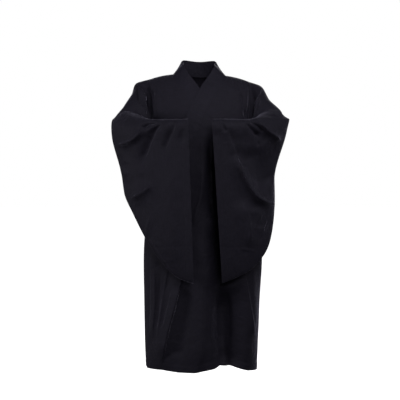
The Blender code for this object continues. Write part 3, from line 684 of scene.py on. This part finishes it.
def half_point(side, across, place, face):
    """Points of a half, from its cut edge (0) to its side seam or armhole (1)."""
    start = neck_angle(place, face)
    angle = start + (math.pi / 2 - start) * across
    bare = body_point(side, angle, place, face)
    x, z = bare[..., 0], bare[..., 2]
    if side == LEFT:
        front = LAP * np.cos(angle) * ramp(place, 0.0, LAP_FULL)
        front = front + form_height(x, z, FRONT_FORM)
    else:
        front = inner_out(z, angle)
    out = np.where(face == BACK, form_height(x, z, BACK_FORM), front)
    out = out * np.where(place < ARMPIT + 1, ramp(1 - across, 0.0, SEAM_FADE), 1.0)
    point = body_point(side, angle, place, face, out)
    point[..., 0] += side * SEAM_GAP / 2
    point[..., 1] += np.where(place > 0.05, face * SEAM_GAP / 2, 0.0)
    return point


def lap_point(side, across, down, end, out, hem_rise=0.0, folds=None):
    """Points of a front panel that carries on beyond the middle, to a side."""
    angle = end * np.asarray(across, float)
    top = np.full(angle.shape, float(ARMPIT))
    for _ in range(12):  # each turn brings the panel's top closer to the neck edge
        x = np.abs(body_point(side, angle, top, FRONT)[..., 0])
        top = place_of(x, NECK_EDGE["height"][-1] - x / BAND_SLOPE)
    place = top + (HEM - top) * down
    bare = body_point(side, angle, place, FRONT)
    lift = form_height(bare[..., 0], bare[..., 2], folds or {})
    point = body_point(side, angle, place, FRONT, out(bare[..., 2], angle) + lift, hem_rise)
    point[..., 0] -= side * SEAM_UNDER * ramp(1 - across, SEAM_UNDER_FROM, 1.0)
    point[..., 1] += PANEL_BACK
    return point


# ---- the sleeves' form --------------------------------------------------------
def sleeve_ring(side, row, angle):
    """Points round one section of a sleeve, from its top down the outer layer to
    the bottom and up the inner layer."""
    *ends, turn, arm, bag, bow = row
    top, low = np.array(ends).reshape(2, 3)
    turn = math.radians(turn)
    facing = np.array([math.sin(turn), math.cos(turn), 0.0])
    even = 1 - np.abs(angle / math.pi - 1)
    down = RING_EVENNESS * even + (1 - RING_EVENNESS) * (1 - np.cos(angle)) / 2
    depth = down * np.linalg.norm(low - top)
    round_arm = np.where(
        depth < arm,
        np.sqrt(np.maximum(arm**2 - (arm - depth) ** 2, 0.0)),
        arm * np.exp(-(((depth - arm) / (ARM_FADE * arm)) ** 2)),
    )
    hang = bag * ramp(depth, 0.0, BAG_FULL * arm) * np.sqrt(np.maximum(1 - down**4, 0.0))
    half = (round_arm**4 + hang**4) ** 0.25 * np.where(angle <= math.pi, 1, -1)
    move = half + bow * np.sin(math.pi * down)
    point = top + (low - top) * down[:, None] + facing * move[:, None]
    point[:, 0] *= side
    return point


def armhole_ring(side, angle):
    """The armhole's edge, in the order of a sleeve's section."""
    place = ARMPIT * (1 - np.cos(angle)) / 2
    point = half_point(side, 1.0, place, np.where(angle <= math.pi, BACK, FRONT))
    fold = np.minimum(
        ramp(angle, 0, ARMHOLE_FOLD), ramp(2 * math.pi - angle, 0, ARMHOLE_FOLD)
    )
    point[:, 1] *= fold * ramp(np.abs(angle - math.pi), 0, ARMHOLE_FOLD)
    point[:, 0] += side * ARMHOLE_GAP
    return point


def sleeve_form(side, angle, down):
    """A grid of points of a sleeve, angle round it by down from 0 to 1."""
    rings = [armhole_ring(side, angle)]
    rings += [sleeve_ring(side, row, angle) for row in SLEEVES[side].values()]
    station = down * (len(rings) - 1)
    points = rows_between(np.array(rings), station)
    lift = form_height(points[..., 0], points[..., 2], SLEEVE_FORM[side])
    outer = np.where(angle <= math.pi, np.sqrt(np.abs(np.sin(angle))), 0.0)
    points[..., 1] -= lift * outer[None] * ramp(station, *SLEEVE_FOLDS)[:, None]
    return points


# ---- the band's form ----------------------------------------------------------
def band_base(side, run):
    """Points of the band's sewn edge: round the neck and down the front."""
    share = np.clip((run - BAND_CREST) / (BAND_CROSSING - BAND_CREST), 0, 1)
    beyond = BAND_END * np.clip((run - BAND_CROSSING) / (1 - BAND_CROSSING), 0, 1)
    nape = half_point(side, 0.0, nape_place(np.clip(1 - run / BAND_CREST, 0, 1)), BACK)
    neck = half_point(side, 0.0, neck_end() * share, FRONT)
    if side == LEFT:
        lap = lap_point(RIGHT, beyond, 0.0, OUTER_END, outer_out)
    else:
        lap = lap_point(LEFT, beyond, 0.0, INNER_END, lambda z, angle: inner_out(z))
    run = run[:, None]
    return np.where(run <= BAND_CREST, nape, np.where(run <= BAND_CROSSING, neck, lap))


def band_form(side, run, across, width):
    """A grid of points of one half of the band, run along it by across it."""
    runs, *ways = np.array(list(BAND_STANDS.values())).T
    inward, back, up, flat = (np.interp(run, runs, way) for way in ways)
    flat = flat * flat * (3 - 2 * flat)
    base = band_base(side, run)
    ahead = np.stack([-side * inward - BAND_LEAN * (1 - flat), back, up], axis=-1)
    reach = BAND_GAP + (width - BAND_GAP) * across
    point = base[:, None] + ahead[:, None] * reach[None, :, None]
    x, z = point[..., 0], point[..., 2]
    place = place_of(x, z)
    out = BAND_OUTER_OUT
    if side == RIGHT:
        out = BAND_INNER_OUT + inner_out(z) + form_height(x, z, VALLEYS)
    lying = body_point(np.where(x > 0, LEFT, RIGHT), angle_at(x, place), place, FRONT, out)
    point[..., 1] += (lying[..., 1] - point[..., 1]) * flat[:, None]
    return point


# ---- making cloth -------------------------------------------------------------
def normals_of(points, centres):
    """Unit normals of a grid of points, away from its rows' centres."""
    normal = unit(np.cross(np.gradient(points, axis=1), np.gradient(points, axis=0)))
    outward = np.sum(normal * (points - centres), axis=-1).mean() > 0
    return normal if outward else -normal


def body_normals(points):
    """Unit normals of a grid of points on the body, away from its upright axis."""
    return normals_of(points, points * [0, 0, 1])


def sleeve_normals(points):
    """Unit normals of a sleeve's grid, away from each ring's middle."""
    return normals_of(points, points[:, :-1].mean(axis=1, keepdims=True))


def front_view(points):
    """Where the front view sees points, in the plane of the origin."""
    size = EYE_DISTANCE / (EYE_DISTANCE + points[..., 1])
    return points[..., 0] * size, (points[..., 2] - EYE_HEIGHT) * size + EYE_HEIGHT


def creased(points, normal, front=(), back=(), front_share=1.0):
    """The grid of points with the creases of both views and soft ripples."""
    sizes = bpy.context.scene.robe_sizes
    across, up = front_view(points)
    to_front = ramp(-normal[..., 1], *FACING) * front_share
    to_back = ramp(normal[..., 1], *FACING)
    lift = sizes.ripple * ripples(across, up) * np.maximum(to_front, to_back)
    for creases in front:
        lift = lift + sizes.crease_depth * to_front * crease_height(across, up, creases)
    for creases in back:
        height = crease_height(points[..., 0], points[..., 2], creases)
        lift = lift + sizes.crease_depth * to_back * height
    return points + normal * lift[..., None]


def elbow_edge(points, normal, side):
    """The grid of a sleeve's points with the pointed fold at the elbow."""
    up = front_view(points)[1]
    outward = ramp(side * normal[..., 0], *ELBOW_FACING)
    moved = points.copy()
    for height, above, below, out in ELBOW_EDGE[side].values():
        away = np.abs((up - height) / np.where(up > height, above, below))
        moved[..., 0] += side * out * outward * np.exp(-away**ELBOW_SHARP)
    return moved


def hem_step(points, normal, distance, height=HEM_LIFT):
    """Lifts the cloth where it is doubled: distance is how far each point is
    from the cut's hem."""
    inside = bpy.context.scene.robe_sizes.hem - distance
    lift = height * ramp(inside, -HEM_EDGE, HEM_EDGE)
    pinch = -HEM_PINCH * np.exp(-((inside / HEM_PINCH_WIDTH) ** 2))
    return points + normal * (lift + pinch)[..., None]


def run_length(points):
    """How far along its columns each row of a grid is, in metres."""
    steps = np.linalg.norm(np.diff(points, axis=0), axis=-1)
    return np.concatenate([np.zeros((1, points.shape[1])), np.cumsum(steps, axis=0)])


def grid_turn(points, normal):
    """1 if a new grid's faces, laid on these points, already face outwards."""
    across = np.gradient(points, axis=1)
    down = np.gradient(points, axis=0)
    return 1 if np.sum(np.cross(across, down) * normal, axis=-1).mean() > 0 else -1


def new_piece(name, mesh, material):
    """A piece of the robe with this mesh and finish, which rides with the robe."""
    robe = bpy.data.collections.get("Monk robe")
    if robe is None:
        robe = bpy.data.collections.new("Monk robe")
        bpy.context.scene.collection.children.link(robe)
    mesh.materials.append(material)
    piece = bpy.data.objects.new(name, mesh)
    robe.objects.link(piece)
    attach(piece, "root")
    return piece


def cloth_shell(node, points, normal, flat, wall, slot="black_cloth", closed=False):
    """A cloth wall that stands for a node, through a grid of points, which lie on
    its outer side. flat is the cut's width and length, which its UV map is drawn
    to, and closed joins the grid's last column to its first."""
    rows, columns = points.shape[0] - 1, points.shape[1] - 1
    cloth = bmesh.new()
    bmesh.ops.create_grid(cloth, x_segments=columns, y_segments=rows, size=1)
    uv = cloth.loops.layers.uv.new("Cut")
    for vertex in cloth.verts:
        column = round((vertex.co.x + 1) / 2 * columns)
        row = round((vertex.co.y + 1) / 2 * rows)
        for loop in vertex.link_loops:
            loop[uv].uv = (column / columns * flat[0], (1 - row / rows) * flat[1])
        vertex.co = points[row, 0 if closed and column == columns else column]
    if closed:
        bmesh.ops.remove_doubles(cloth, verts=cloth.verts, dist=1e-7)
    if grid_turn(points, normal) < 0:
        bmesh.ops.reverse_faces(cloth, faces=cloth.faces)
    for edge in cloth.edges:
        edge.smooth = not edge.is_boundary
    for face in cloth.faces:
        face.smooth = True
    mesh = bpy.data.meshes.new(node)
    cloth.to_mesh(mesh)
    cloth.free()
    piece = new_piece(node + "_cloth", mesh, cloth_finish(slot))
    shell = piece.modifiers.new("Cloth wall", "SOLIDIFY")
    shell.thickness, shell.offset = wall, -1
    shell.use_rim, shell.use_even_offset = True, False
    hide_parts(node)
    return piece


# ---- stitches -----------------------------------------------------------------
def along(line, values, at):
    """The values, one for each point of a line, at these lengths along it."""
    starts = np.concatenate([[0.0], np.cumsum(np.linalg.norm(np.diff(line, axis=0), axis=1))])
    return np.stack([np.interp(at, starts, values[:, i]) for i in range(3)], axis=-1)


def row_at(values, run, distance):
    """The values of a grid where each column's run reaches a distance."""
    line = []
    for column in range(run.shape[1]):
        order = np.argsort(run[:, column])
        line.append([
            np.interp(distance, run[order, column], values[order, column, i])
            for i in range(3)
        ])
    return np.array(line)


class Sewing:
    """Rows of stitches, collected and made as one mesh."""

    def __init__(self):
        self.places = []

    def row(self, line, normal, lift=0.0):
        """Stitches along a line of points on cloth."""
        length = length_of(line)
        count = int(length / bpy.context.scene.robe_sizes.stitch)
        if count < 1:
            return
        at = (np.arange(count) + 0.5) * length / count
        middle, up = along(line, line, at), along(line, normal, at)
        ahead = along(line, line, at + 1e-3) - middle
        self.places += list(zip(middle + lift * up, ahead, up))

    def make(self, name):
        """One mesh of all the stitches: each is a thin diamond of thread."""
        thread = bmesh.new()
        bmesh.ops.create_uvsphere(thread, u_segments=4, v_segments=2, radius=1)
        stitch = STITCH_SHARE * bpy.context.scene.robe_sizes.stitch
        bmesh.ops.scale(
            thread, verts=thread.verts,
            vec=(THREAD_THICKNESS / 2, THREAD_THICKNESS / 2, stitch / 2),
        )
        mesh = bpy.data.meshes.new(name)
        thread.to_mesh(mesh)  # and back again, so that no gaps are left in its order
        thread.clear()
        thread.from_mesh(mesh)
        corners = np.array([vertex.co for vertex in thread.verts])
        one = [len(part) for part in (thread.verts, thread.edges, thread.faces)]
        made, wanted = 1, len(self.places)
        while made < wanted:  # each turn doubles the stitches, in their order
            more = min(made, wanted - made)
            parts = zip((thread.verts, thread.edges, thread.faces), one)
            copied = [item for part, size in parts for item in part[:more * size]]
            bmesh.ops.duplicate(thread, geom=copied)
            made += more
        middle, ahead, up = (np.array(part) for part in zip(*self.places))
        ahead = unit(ahead)
        aside = unit(np.cross(up, ahead))
        turns = np.stack([aside, np.cross(ahead, aside), ahead], axis=1)
        points = middle[:, None] + corners @ turns
        for vertex, point in zip(thread.verts, points.reshape(-1, 3)):
            vertex.co = point
        thread.to_mesh(mesh)
        thread.free()
        mesh.shade_smooth()
        new_piece(name, mesh, thread_finish())


# ---- finishes -----------------------------------------------------------------
# Threads are really 0.25 mm apart, and drawn at 1.1 mm so that the weave shows.
THREAD_SPACING = 0.0011
THREAD_TWIST = 0.0008  # really 0.2 mm, drawn four times as coarse to show
STREAKS = (16, 480, 1)  # thicker weft threads: streaks 60 mm long and 2 mm apart
CRUMPLE, WEAR = 26.0, 3.1  # noise scales, for patches 40 mm and 0.3 m across
# each cloth's material, its colour's setting, and its relief, sheen and roughness;
# the band's cloth is pressed in several layers, and so a little smoother
CLOTHS = {
    "black_cloth": ("plain_woven_black_cloth", "cloth", 0.00022, 0.13, 0.68),
    "band_cloth":  ("pressed_layered_black_cloth", "band", 0.00016, 0.11, 0.66),
}


def add(tree, kind, values=None, **links):
    """Adds a node. values sets its options and unlinked sockets, and each link
    feeds the socket of that name, or of that number after an underscore."""
    made = tree.nodes.new(kind)
    for name, value in (values or {}).items():
        if isinstance(name, str) and hasattr(made, name):
            setattr(made, name, value)
        else:
            made.inputs[name].default_value = value
    for name, source in links.items():
        key = int(name[1:]) if name[0] == "_" else name.replace("_", " ")
        tree.links.new(source, made.inputs[key])
    return made


def new_finish(name, values):
    """A material, with its tree and its shader, whose sockets get these values."""
    material = bpy.data.materials.new(name)
    material.use_nodes = True
    shader = material.node_tree.nodes["Principled BSDF"]
    for socket, value in values.items():
        shader.inputs[socket].default_value = value
    return material, material.node_tree, shader


def wave_scale(spacing):
    """A wave texture's scale for bands this far apart, in metres."""
    return math.pi / 10 / spacing


def woven_cloth(name, colour, high, relief, sheen, roughness):
    """Plain-woven polyester and cotton, dyed black and pressed: a matt cloth whose
    fine nap lights up where it turns away from the eye."""
    material, tree, shader = new_finish(name, {
        "Specular IOR Level": 0.12, "Specular Tint": (0.88, 0.84, 1.0, 1),
        "Sheen Weight": sheen, "Sheen Roughness": 0.32, "Sheen Tint": (0.80, 0.76, 1.0, 1),
    })
    places = add(tree, "ShaderNodeTexCoord").outputs
    warp, weft = (
        add(
            tree, "ShaderNodeTexWave",
            {"wave_type": "BANDS", "bands_direction": way, "wave_profile": "SIN",
             "Scale": wave_scale(THREAD_SPACING), "Distortion": 0.6,
             "Detail": 1.0, "Detail Scale": 0.4},
            Vector=places["UV"],
        ).outputs["Fac"]
        for way in ("X", "Y")
    )
    weave = add(tree, "ShaderNodeMath", {"operation": "MULTIPLY"}, _0=warp, _1=weft)
    streak_places = add(
        tree, "ShaderNodeMapping", {"Scale": STREAKS}, Vector=places["UV"]
    ).outputs["Vector"]
    slubs = add(
        tree, "ShaderNodeTexNoise", {"Scale": 1.0, "Detail": 2.0, "Roughness": 0.6},
        Vector=streak_places,
    ).outputs["Fac"]
    crumple = add(
        tree, "ShaderNodeTexNoise",
        {"Scale": CRUMPLE, "Detail": 3.0, "Roughness": 0.5, "Distortion": 0.6},
        Vector=places["Object"],
    ).outputs["Fac"]
    wear = add(
        tree, "ShaderNodeTexNoise", {"Scale": WEAR, "Detail": 2.0}, Vector=places["Object"]
    ).outputs["Fac"]
    streaks = add(
        tree, "ShaderNodeMapRange",
        {"From Min": 0.45, "From Max": 0.75, "To Min": 0.0, "To Max": 1.0}, Value=slubs,
    ).outputs["Result"]
    shade = add(
        tree, "ShaderNodeMath", {"operation": "MULTIPLY_ADD", 1: 0.35}, _0=wear, _2=streaks
    ).outputs["Value"]
    mix = add(
        tree, "ShaderNodeMix",
        {"data_type": "RGBA", 6: (*colour, 1), 7: (*high, 1)}, _0=shade,
    )
    tree.links.new(mix.outputs[2], shader.inputs["Base Color"])
    rough = add(
        tree, "ShaderNodeMapRange",
        {"To Min": roughness - 0.05, "To Max": roughness + 0.07}, Value=wear,
    )
    tree.links.new(rough.outputs["Result"], shader.inputs["Roughness"])
    bump = add(
        tree, "ShaderNodeBump", {"Strength": 0.90, "Distance": 0.004}, Height=crumple
    )
    for height, strength, distance in (
        (slubs, 0.80, 0.0010), (weave.outputs["Value"], 0.5, relief),
    ):
        bump = add(
            tree, "ShaderNodeBump", {"Strength": strength, "Distance": distance},
            Height=height, Normal=bump.outputs["Normal"],
        )
    tree.links.new(bump.outputs["Normal"], shader.inputs["Normal"])
    return material


def cloth_finish(slot):
    """The material of a slot's cloth, which is made at its first use."""
    name, colour, *looks = CLOTHS[slot]
    colours = bpy.context.scene.robe_colours
    return bpy.data.materials.get(name) or woven_cloth(
        name, getattr(colours, colour), colours.cloth_high, *looks
    )


def thread_finish():
    """Spun polyester thread: rounder and a little shinier than the cloth."""
    found = bpy.data.materials.get("spun_polyester_thread")
    if found:
        return found
    colour = bpy.context.scene.robe_colours.thread
    material, tree, shader = new_finish(
        "spun_polyester_thread", {"Roughness": 0.6, "Specular IOR Level": 0.15}
    )
    twist = add(
        tree, "ShaderNodeTexWave",
        {"wave_type": "BANDS", "bands_direction": "DIAGONAL",
         "Scale": wave_scale(THREAD_TWIST)},
        Vector=add(tree, "ShaderNodeTexCoord").outputs["Object"],
    ).outputs["Fac"]
    mix = add(
        tree, "ShaderNodeMix",
        {"data_type": "RGBA", 6: (*colour, 1), 7: (*(1.5 * c for c in colour), 1)},
        _0=twist,
    )
    tree.links.new(mix.outputs[2], shader.inputs["Base Color"])
    return material


# ---- pieces -------------------------------------------------------------------
def half_grid(side, columns, rows):
    """A half of the robe from the front hem (row 0) over the crest to the back.
    Both lists of shares of its rows are matched to places down the sections, so
    that the rows lie closer together round the neck."""
    front_rows, nape_rows = int(HALF_FRONT * rows), int(HALF_NAPE * rows)
    back_rows = rows - front_rows - nape_rows
    places = np.concatenate([
        np.interp(
            np.linspace(1, 0, front_rows + 1), (0, 0.10, 0.30, 0.42, 1),
            (0, 1.9, neck_end(), ARMPIT + 0.6, HEM),
        ),
        nape_place(np.linspace(0, 1, nape_rows + 1)[1:]),
        np.interp(
            np.linspace(0, 1, back_rows + 1)[1:], (0, 0.25, 1), (NECK, ARMPIT, HEM)
        ),
    ])
    faces = np.where(np.arange(rows + 1) <= front_rows, FRONT, BACK)
    across = np.linspace(0, 1, columns + 1)
    return half_point(side, across[None, :], places[:, None], faces[:, None]), front_rows


def make_half(side, name, sewing):
    """One half of the body, with its stitches."""
    sizes = bpy.context.scene.robe_sizes
    points, front_rows = half_grid(side, *HALF_GRID)
    normal = body_normals(points)
    front, shown = [TOP_CREASES], ramp(points[..., 2], *RIGHT_COVERED)
    if side == LEFT:
        front, shown = [TOP_CREASES, SKIRT_CREASES], 1.0
    points = creased(points, normal, front, [BACK_CREASES], shown)
    run = run_length(points)
    is_front = np.arange(len(points))[:, None] <= front_rows
    points = hem_step(points, normal, np.where(is_front, run, run[-1:] - run))
    flat = (HALF_MEAN_WIDTH, float(run[-1].mean()))
    piece = cloth_shell(name, points, normal, flat, sizes.cloth_wall)
    normal = body_normals(points)
    seam = sizes.hem - HEM_SEAM
    for from_hem in (run, run[-1:] - run):
        sewing.row(row_at(points, from_hem, seam), row_at(normal, from_hem, seam))
    top = slice(*(int(share * len(points)) for share in ARMHOLE_ROWS))
    sewing.row(points[top, SEAM_COLUMN], normal[top, SEAM_COLUMN])


def make_front(name, side, end, grid, out, hem_rise, folds, creases, sewing):
    """A panel that carries the front on beyond the middle, to one side."""
    sizes = bpy.context.scene.robe_sizes
    across, down = np.meshgrid(*(np.linspace(0, 1, count + 1) for count in grid))
    points = lap_point(side, across, down, end, out, hem_rise, folds)
    normal = body_normals(points)
    points = creased(points, normal, creases)
    run = run_length(points)
    points = hem_step(points, normal, run[-1:] - run)
    width, length = float(length_of(points.swapaxes(0, 1)).mean()), float(run[-1].max())
    piece = cloth_shell(name, points, normal, (width, length), sizes.cloth_wall)
    row = int(len(points) * (1 - (sizes.hem - HEM_SEAM) / length))
    sewing.row(points[row], normal[row])
    sewing.row(points[:, SEAM_COLUMN], normal[:, SEAM_COLUMN])


def make_sleeve(side, name, sewing):
    """One wide hanging sleeve, with the stitches of its cuff and armhole."""
    sizes = bpy.context.scene.robe_sizes
    around, along_arm = SLEEVE_GRID
    outer = int(around * OUTER_LAYER)
    angle = np.concatenate([
        np.linspace(0, math.pi, outer + 1),
        np.linspace(math.pi, 2 * math.pi, around - outer + 1)[1:],
    ])
    down = np.linspace(0, 1, along_arm + 1)
    points = sleeve_form(side, angle, down)
    normal = sleeve_normals(points)
    normal[:, 0] = normal[:, -1] = (normal[:, 0] + normal[:, -1]) / 2
    folded = creased(
        points, normal, [TOP_CREASES, SLEEVE_CREASES], [SLEEVE_BACK_CREASES]
    )
    folded = elbow_edge(folded, normal, side)
    points = points + (folded - points) * ramp(down, 0.0, EDGE_FADE)[:, None, None]
    run = run_length(points)
    points = hem_step(points, normal, run[-1:] - run, CUFF_LIFT)
    points[:, -1] = points[:, 0]
    flat = (float(length_of(points.swapaxes(0, 1)).mean()), float(run[-1].mean()))
    piece = cloth_shell(name, points, normal, flat, sizes.cloth_wall, closed=True)
    normal = sleeve_normals(points)
    cuff = np.argmin(np.abs((run[-1:] - run).mean(1) - sizes.hem + HEM_SEAM))
    for row in (cuff, 2):
        sewing.row(points[row], normal[row])


class CLOTH_OT_halves(Operator):
    """The two halves, each from the front hem over the shoulder to the back hem"""

    bl_idname = "monk_robe.halves"
    bl_label = "Halves"

    def execute(self, context):
        sewing = Sewing()
        make_half(LEFT, "half_left", sewing)
        make_half(RIGHT, "half_right", sewing)
        sewing.make("stitches_halves")
        return {"FINISHED"}


class CLOTH_OT_fronts(Operator):
    """The panels that lap over each other: the outer front and the inner front"""

    bl_idname = "monk_robe.fronts"
    bl_label = "Outer and inner front"

    def execute(self, context):
        sewing = Sewing()
        make_front(
            "outer_front", RIGHT, OUTER_END, OUTER_FRONT_GRID, outer_out, 0.0,
            FRONT_FORM, [SKIRT_CREASES], sewing,
        )
        make_front(
            "inner_front", LEFT, INNER_END, INNER_FRONT_GRID,
            lambda z, angle: inner_out(z), INNER_HEM_RISE, VALLEYS, [], sewing,
        )
        sewing.make("stitches_fronts")
        return {"FINISHED"}


class CLOTH_OT_sleeves(Operator):
    """The wide hanging sleeves"""

    bl_idname = "monk_robe.sleeves"
    bl_label = "Sleeves"

    def execute(self, context):
        sewing = Sewing()
        make_sleeve(LEFT, "sleeve_left", sewing)
        make_sleeve(RIGHT, "sleeve_right", sewing)
        sewing.make("stitches_sleeves")
        return {"FINISHED"}


class CLOTH_OT_band(Operator):
    """The long collar band with its rows of stitching"""

    bl_idname = "monk_robe.band"
    bl_label = "Collar band"

    def execute(self, context):
        sizes = context.scene.robe_sizes
        columns, rows = BAND_GRID
        run, across = np.linspace(0, 1, rows + 1), np.linspace(0, 1, columns + 1)
        left = band_form(LEFT, run[::-1], across, sizes.band_width)
        right = band_form(RIGHT, run[1:], across, sizes.band_width)
        points = np.concatenate([left, right])
        normal = body_normals(points)
        seams = [
            (i + 0.5) / sizes.quilting * QUILT_SPREAD + QUILT_FIRST
            for i in range(sizes.quilting)
        ]
        for seam in seams:
            away = (across - seam) * sizes.band_width / QUILT_WIDTH
            points = points - normal * (QUILT_DEPTH * np.exp(-(away**2)))[None, :, None]
        length = float(length_of(points[:, 0]))
        piece = cloth_shell(
            "collar_band", points, normal, (sizes.band_width, length),
            sizes.band_wall, "band_cloth",
        )
        soften = piece.modifiers.new("Pressed folds", "BEVEL")
        soften.width, soften.segments = BAND_EDGE, 2
        soften.limit_method, soften.angle_limit = "ANGLE", math.radians(60)
        sewing = Sewing()
        for seam in seams:
            column = round(seam * columns)
            sewing.row(points[:, column], normal[:, column], QUILT_LIFT)
        sewing.make("stitches_band")
        return {"FINISHED"}


def side_point(girth, height, out):
    """Points at the robe's right side, by their angle from the front's middle."""
    face = np.where(girth <= 90, FRONT, BACK)
    angle = np.radians(np.where(girth <= 90, girth, 180 - girth))
    waist = dict(zip(LEVEL_COLUMNS, LEVELS["waist"]))
    place = place_of(waist["centre"] - waist["half_width"] * np.sin(angle), height)
    return body_point(RIGHT, angle, place, face, out)


class CLOTH_OT_ties(Operator):
    """The two ties at the wearer's right side, and their knot"""

    bl_idname = "monk_robe.ties"
    bl_label = "Ties"

    def execute(self, context):
        for name, corners in TIES.items():
            self.tie(name, corners, context.scene.robe_sizes.tie_width)
        self.knot()
        return {"FINISHED"}

    def tie(self, name, corners, width):
        """One tie: a narrow band with a crease along its middle."""
        columns, rows = TIE_GRID
        places = np.linspace(0, len(corners) - 1, rows + 1)
        girth, height, out = rows_between(corners, places).T
        middle = side_point(girth, height, out)
        outward = side_point(girth, height, out + width) - middle
        ahead = np.gradient(middle, axis=0)
        sideways = unit(np.cross(outward, ahead))
        across = np.linspace(-0.5, 0.5, columns + 1)
        points = middle[:, None] + sideways[:, None] * (width * across)[None, :, None]
        normal = unit(np.cross(ahead, sideways))
        normal *= np.sign(np.sum(normal * outward, axis=1, keepdims=True))
        normal = np.repeat(normal[:, None], columns + 1, axis=1)
        crease = np.maximum(-TIE_CREASE * np.cos(2 * math.pi * across), 0)
        points = points - normal * crease[None, :, None]
        length = float(length_of(middle))
        piece = cloth_shell(name, points, normal, (width, length), TIE_WALL, "band_cloth")

    def knot(self):
        """A flat knot: one tie wound once round the other, as crossing folds."""
        low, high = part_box("tie_knot")
        centre = (low + high) / 2
        lump = bmesh.new()
        lump.from_mesh(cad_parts["tie_knot"].data)
        bmesh.ops.remove_doubles(lump, verts=lump.verts, dist=1e-5)
        bmesh.ops.subdivide_edges(
            lump, edges=lump.edges, cuts=3, use_grid_fill=True, smooth=0.3
        )
        for vertex in lump.verts:  # the folds are waves slanting over the knot
            rel = vertex.co - centre
            turn = math.atan2(rel.z, rel.y)
            wrap = KNOT_WRAPS * math.sin(900 * rel.z + 260 * rel.y + turn)
            vertex.co = centre + rel * (KNOT_SIZE + wrap)
        mesh = bpy.data.meshes.new("knot_of_ties")
        lump.to_mesh(mesh)
        lump.free()
        mesh.shade_smooth()
        knot = new_piece("knot_of_ties", mesh, cloth_finish("band_cloth"))
        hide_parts("tie_knot")


class CLOTH_OT_stage(Operator):
    """The pale floor, soft studio lights and camera"""

    bl_idname = "monk_robe.stage"
    bl_label = "Stage"

    def execute(self, context):
        settings = context.scene.robe_stage
        self.floor()
        self.room(settings)
        for name, (place, size, setting, share) in LIGHTS.items():
            self.light(name, place, size, share * getattr(settings, setting))
        camera = bpy.data.objects.new("camera", bpy.data.cameras.new("camera"))
        camera.location = (CAMERA_X, -EYE_DISTANCE, EYE_HEIGHT)
        camera.rotation_euler = (math.pi / 2, 0, 0)
        camera.data.lens, camera.data.sensor_width = settings.lens, 36
        context.scene.collection.objects.link(camera)
        context.scene.camera = camera
        context.scene.view_settings.view_transform = "Standard"
        return {"FINISHED"}

    def floor(self):
        """Seamless white paper, which gives out as much light as the backdrop."""
        material, tree, shader = new_finish("white_seamless_paper", {
            "Base Color": (0.9, 0.9, 0.9, 1), "Roughness": 0.85,
            "Emission Color": (1, 1, 1, 1), "Emission Strength": 1.0,
        })
        grain = add(
            tree, "ShaderNodeTexNoise", {"Scale": 90.0, "Detail": 2.0},
            Vector=add(tree, "ShaderNodeTexCoord").outputs["Object"],
        ).outputs["Fac"]
        bump = add(
            tree, "ShaderNodeBump", {"Strength": 0.05, "Distance": 0.001}, Height=grain
        )
        tree.links.new(bump.outputs["Normal"], shader.inputs["Normal"])
        paper = bmesh.new()
        bmesh.ops.create_circle(paper, cap_ends=True, segments=96, radius=FLOOR_RADIUS)
        bmesh.ops.translate(paper, verts=paper.verts, vec=(0, 0, LOWEST - FLOOR_DROP))
        mesh = bpy.data.meshes.new("floor")
        paper.to_mesh(mesh)
        paper.free()
        mesh.materials.append(material)
        floor = bpy.data.objects.new("floor", mesh)
        bpy.context.scene.collection.objects.link(floor)
        floor.visible_diffuse = floor.visible_glossy = False

    def room(self, settings):
        """The soft light of the room, and the backdrop that is seen behind."""
        world = bpy.data.worlds.new("studio")
        bpy.context.scene.world = world
        world.use_nodes = True
        tree = world.node_tree
        tree.nodes.clear()
        seen = 1.0 if settings.white_backdrop else settings.studio
        soft, white = (
            add(
                tree, "ShaderNodeBackground", {"Color": (*colour, 1), "Strength": strength}
            ).outputs["Background"]
            for colour, strength in (((0.97, 0.98, 1.0), settings.studio), ((1, 1, 1), seen))
        )
        path = add(tree, "ShaderNodeLightPath").outputs["Is Camera Ray"]
        mix = add(tree, "ShaderNodeMixShader", _0=path, _1=soft, _2=white)
        add(tree, "ShaderNodeOutputWorld", Surface=mix.outputs[0])

    def light(self, name, place, size, power):
        """A round soft light that points at the robe."""
        lamp = bpy.data.lights.new(name, "AREA")
        lamp.shape, lamp.size, lamp.energy = "DISK", size, power
        holder = bpy.data.objects.new(name, lamp)
        holder.location = place
        aim = Vector((0, 0, LIT_HEIGHT)) - Vector(place)
        holder.rotation_euler = aim.to_track_quat("-Z", "Y").to_euler()
        bpy.context.scene.collection.objects.link(holder)


OPERATORS = (
    CLOTH_OT_halves, CLOTH_OT_fronts, CLOTH_OT_sleeves, CLOTH_OT_band, CLOTH_OT_ties,
    CLOTH_OT_stage,
)
SETTINGS = {"robe_sizes": RobeSizes, "robe_colours": RobeColours, "robe_stage": RobeStage}


class CLOTH_PT_robe(Panel):
    """Lists the robe's sizes, colours, stage and pieces"""

    bl_idname = "CLOTH_PT_robe"
    bl_label = "Monk robe"
    bl_space_type = "VIEW_3D"
    bl_region_type = "UI"
    bl_category = "Monk robe"

    def draw(self, context):
        for name, group in SETTINGS.items():
            box = self.layout.box()
            for setting in group.__annotations__:
                box.prop(getattr(context.scene, name), setting)
        for operator in OPERATORS:
            self.layout.operator(operator.bl_idname)


CLASSES = (*SETTINGS.values(), *OPERATORS, CLOTH_PT_robe)


def register():
    for made in CLASSES:
        bpy.utils.register_class(made)
    for name, group in SETTINGS.items():
        setattr(bpy.types.Scene, name, PointerProperty(type=group))


def unregister():
    for name in SETTINGS:
        delattr(bpy.types.Scene, name)
    for made in reversed(CLASSES):
        bpy.utils.unregister_class(made)


def main():
    register()
    bpy.ops.monk_robe.stage()
    bpy.ops.monk_robe.halves()
    bpy.ops.monk_robe.fronts()
    bpy.ops.monk_robe.sleeves()
    bpy.ops.monk_robe.band()
    bpy.ops.monk_robe.ties()
    bpy.context.view_layer.update()


if __name__ == "__main__":
    main()
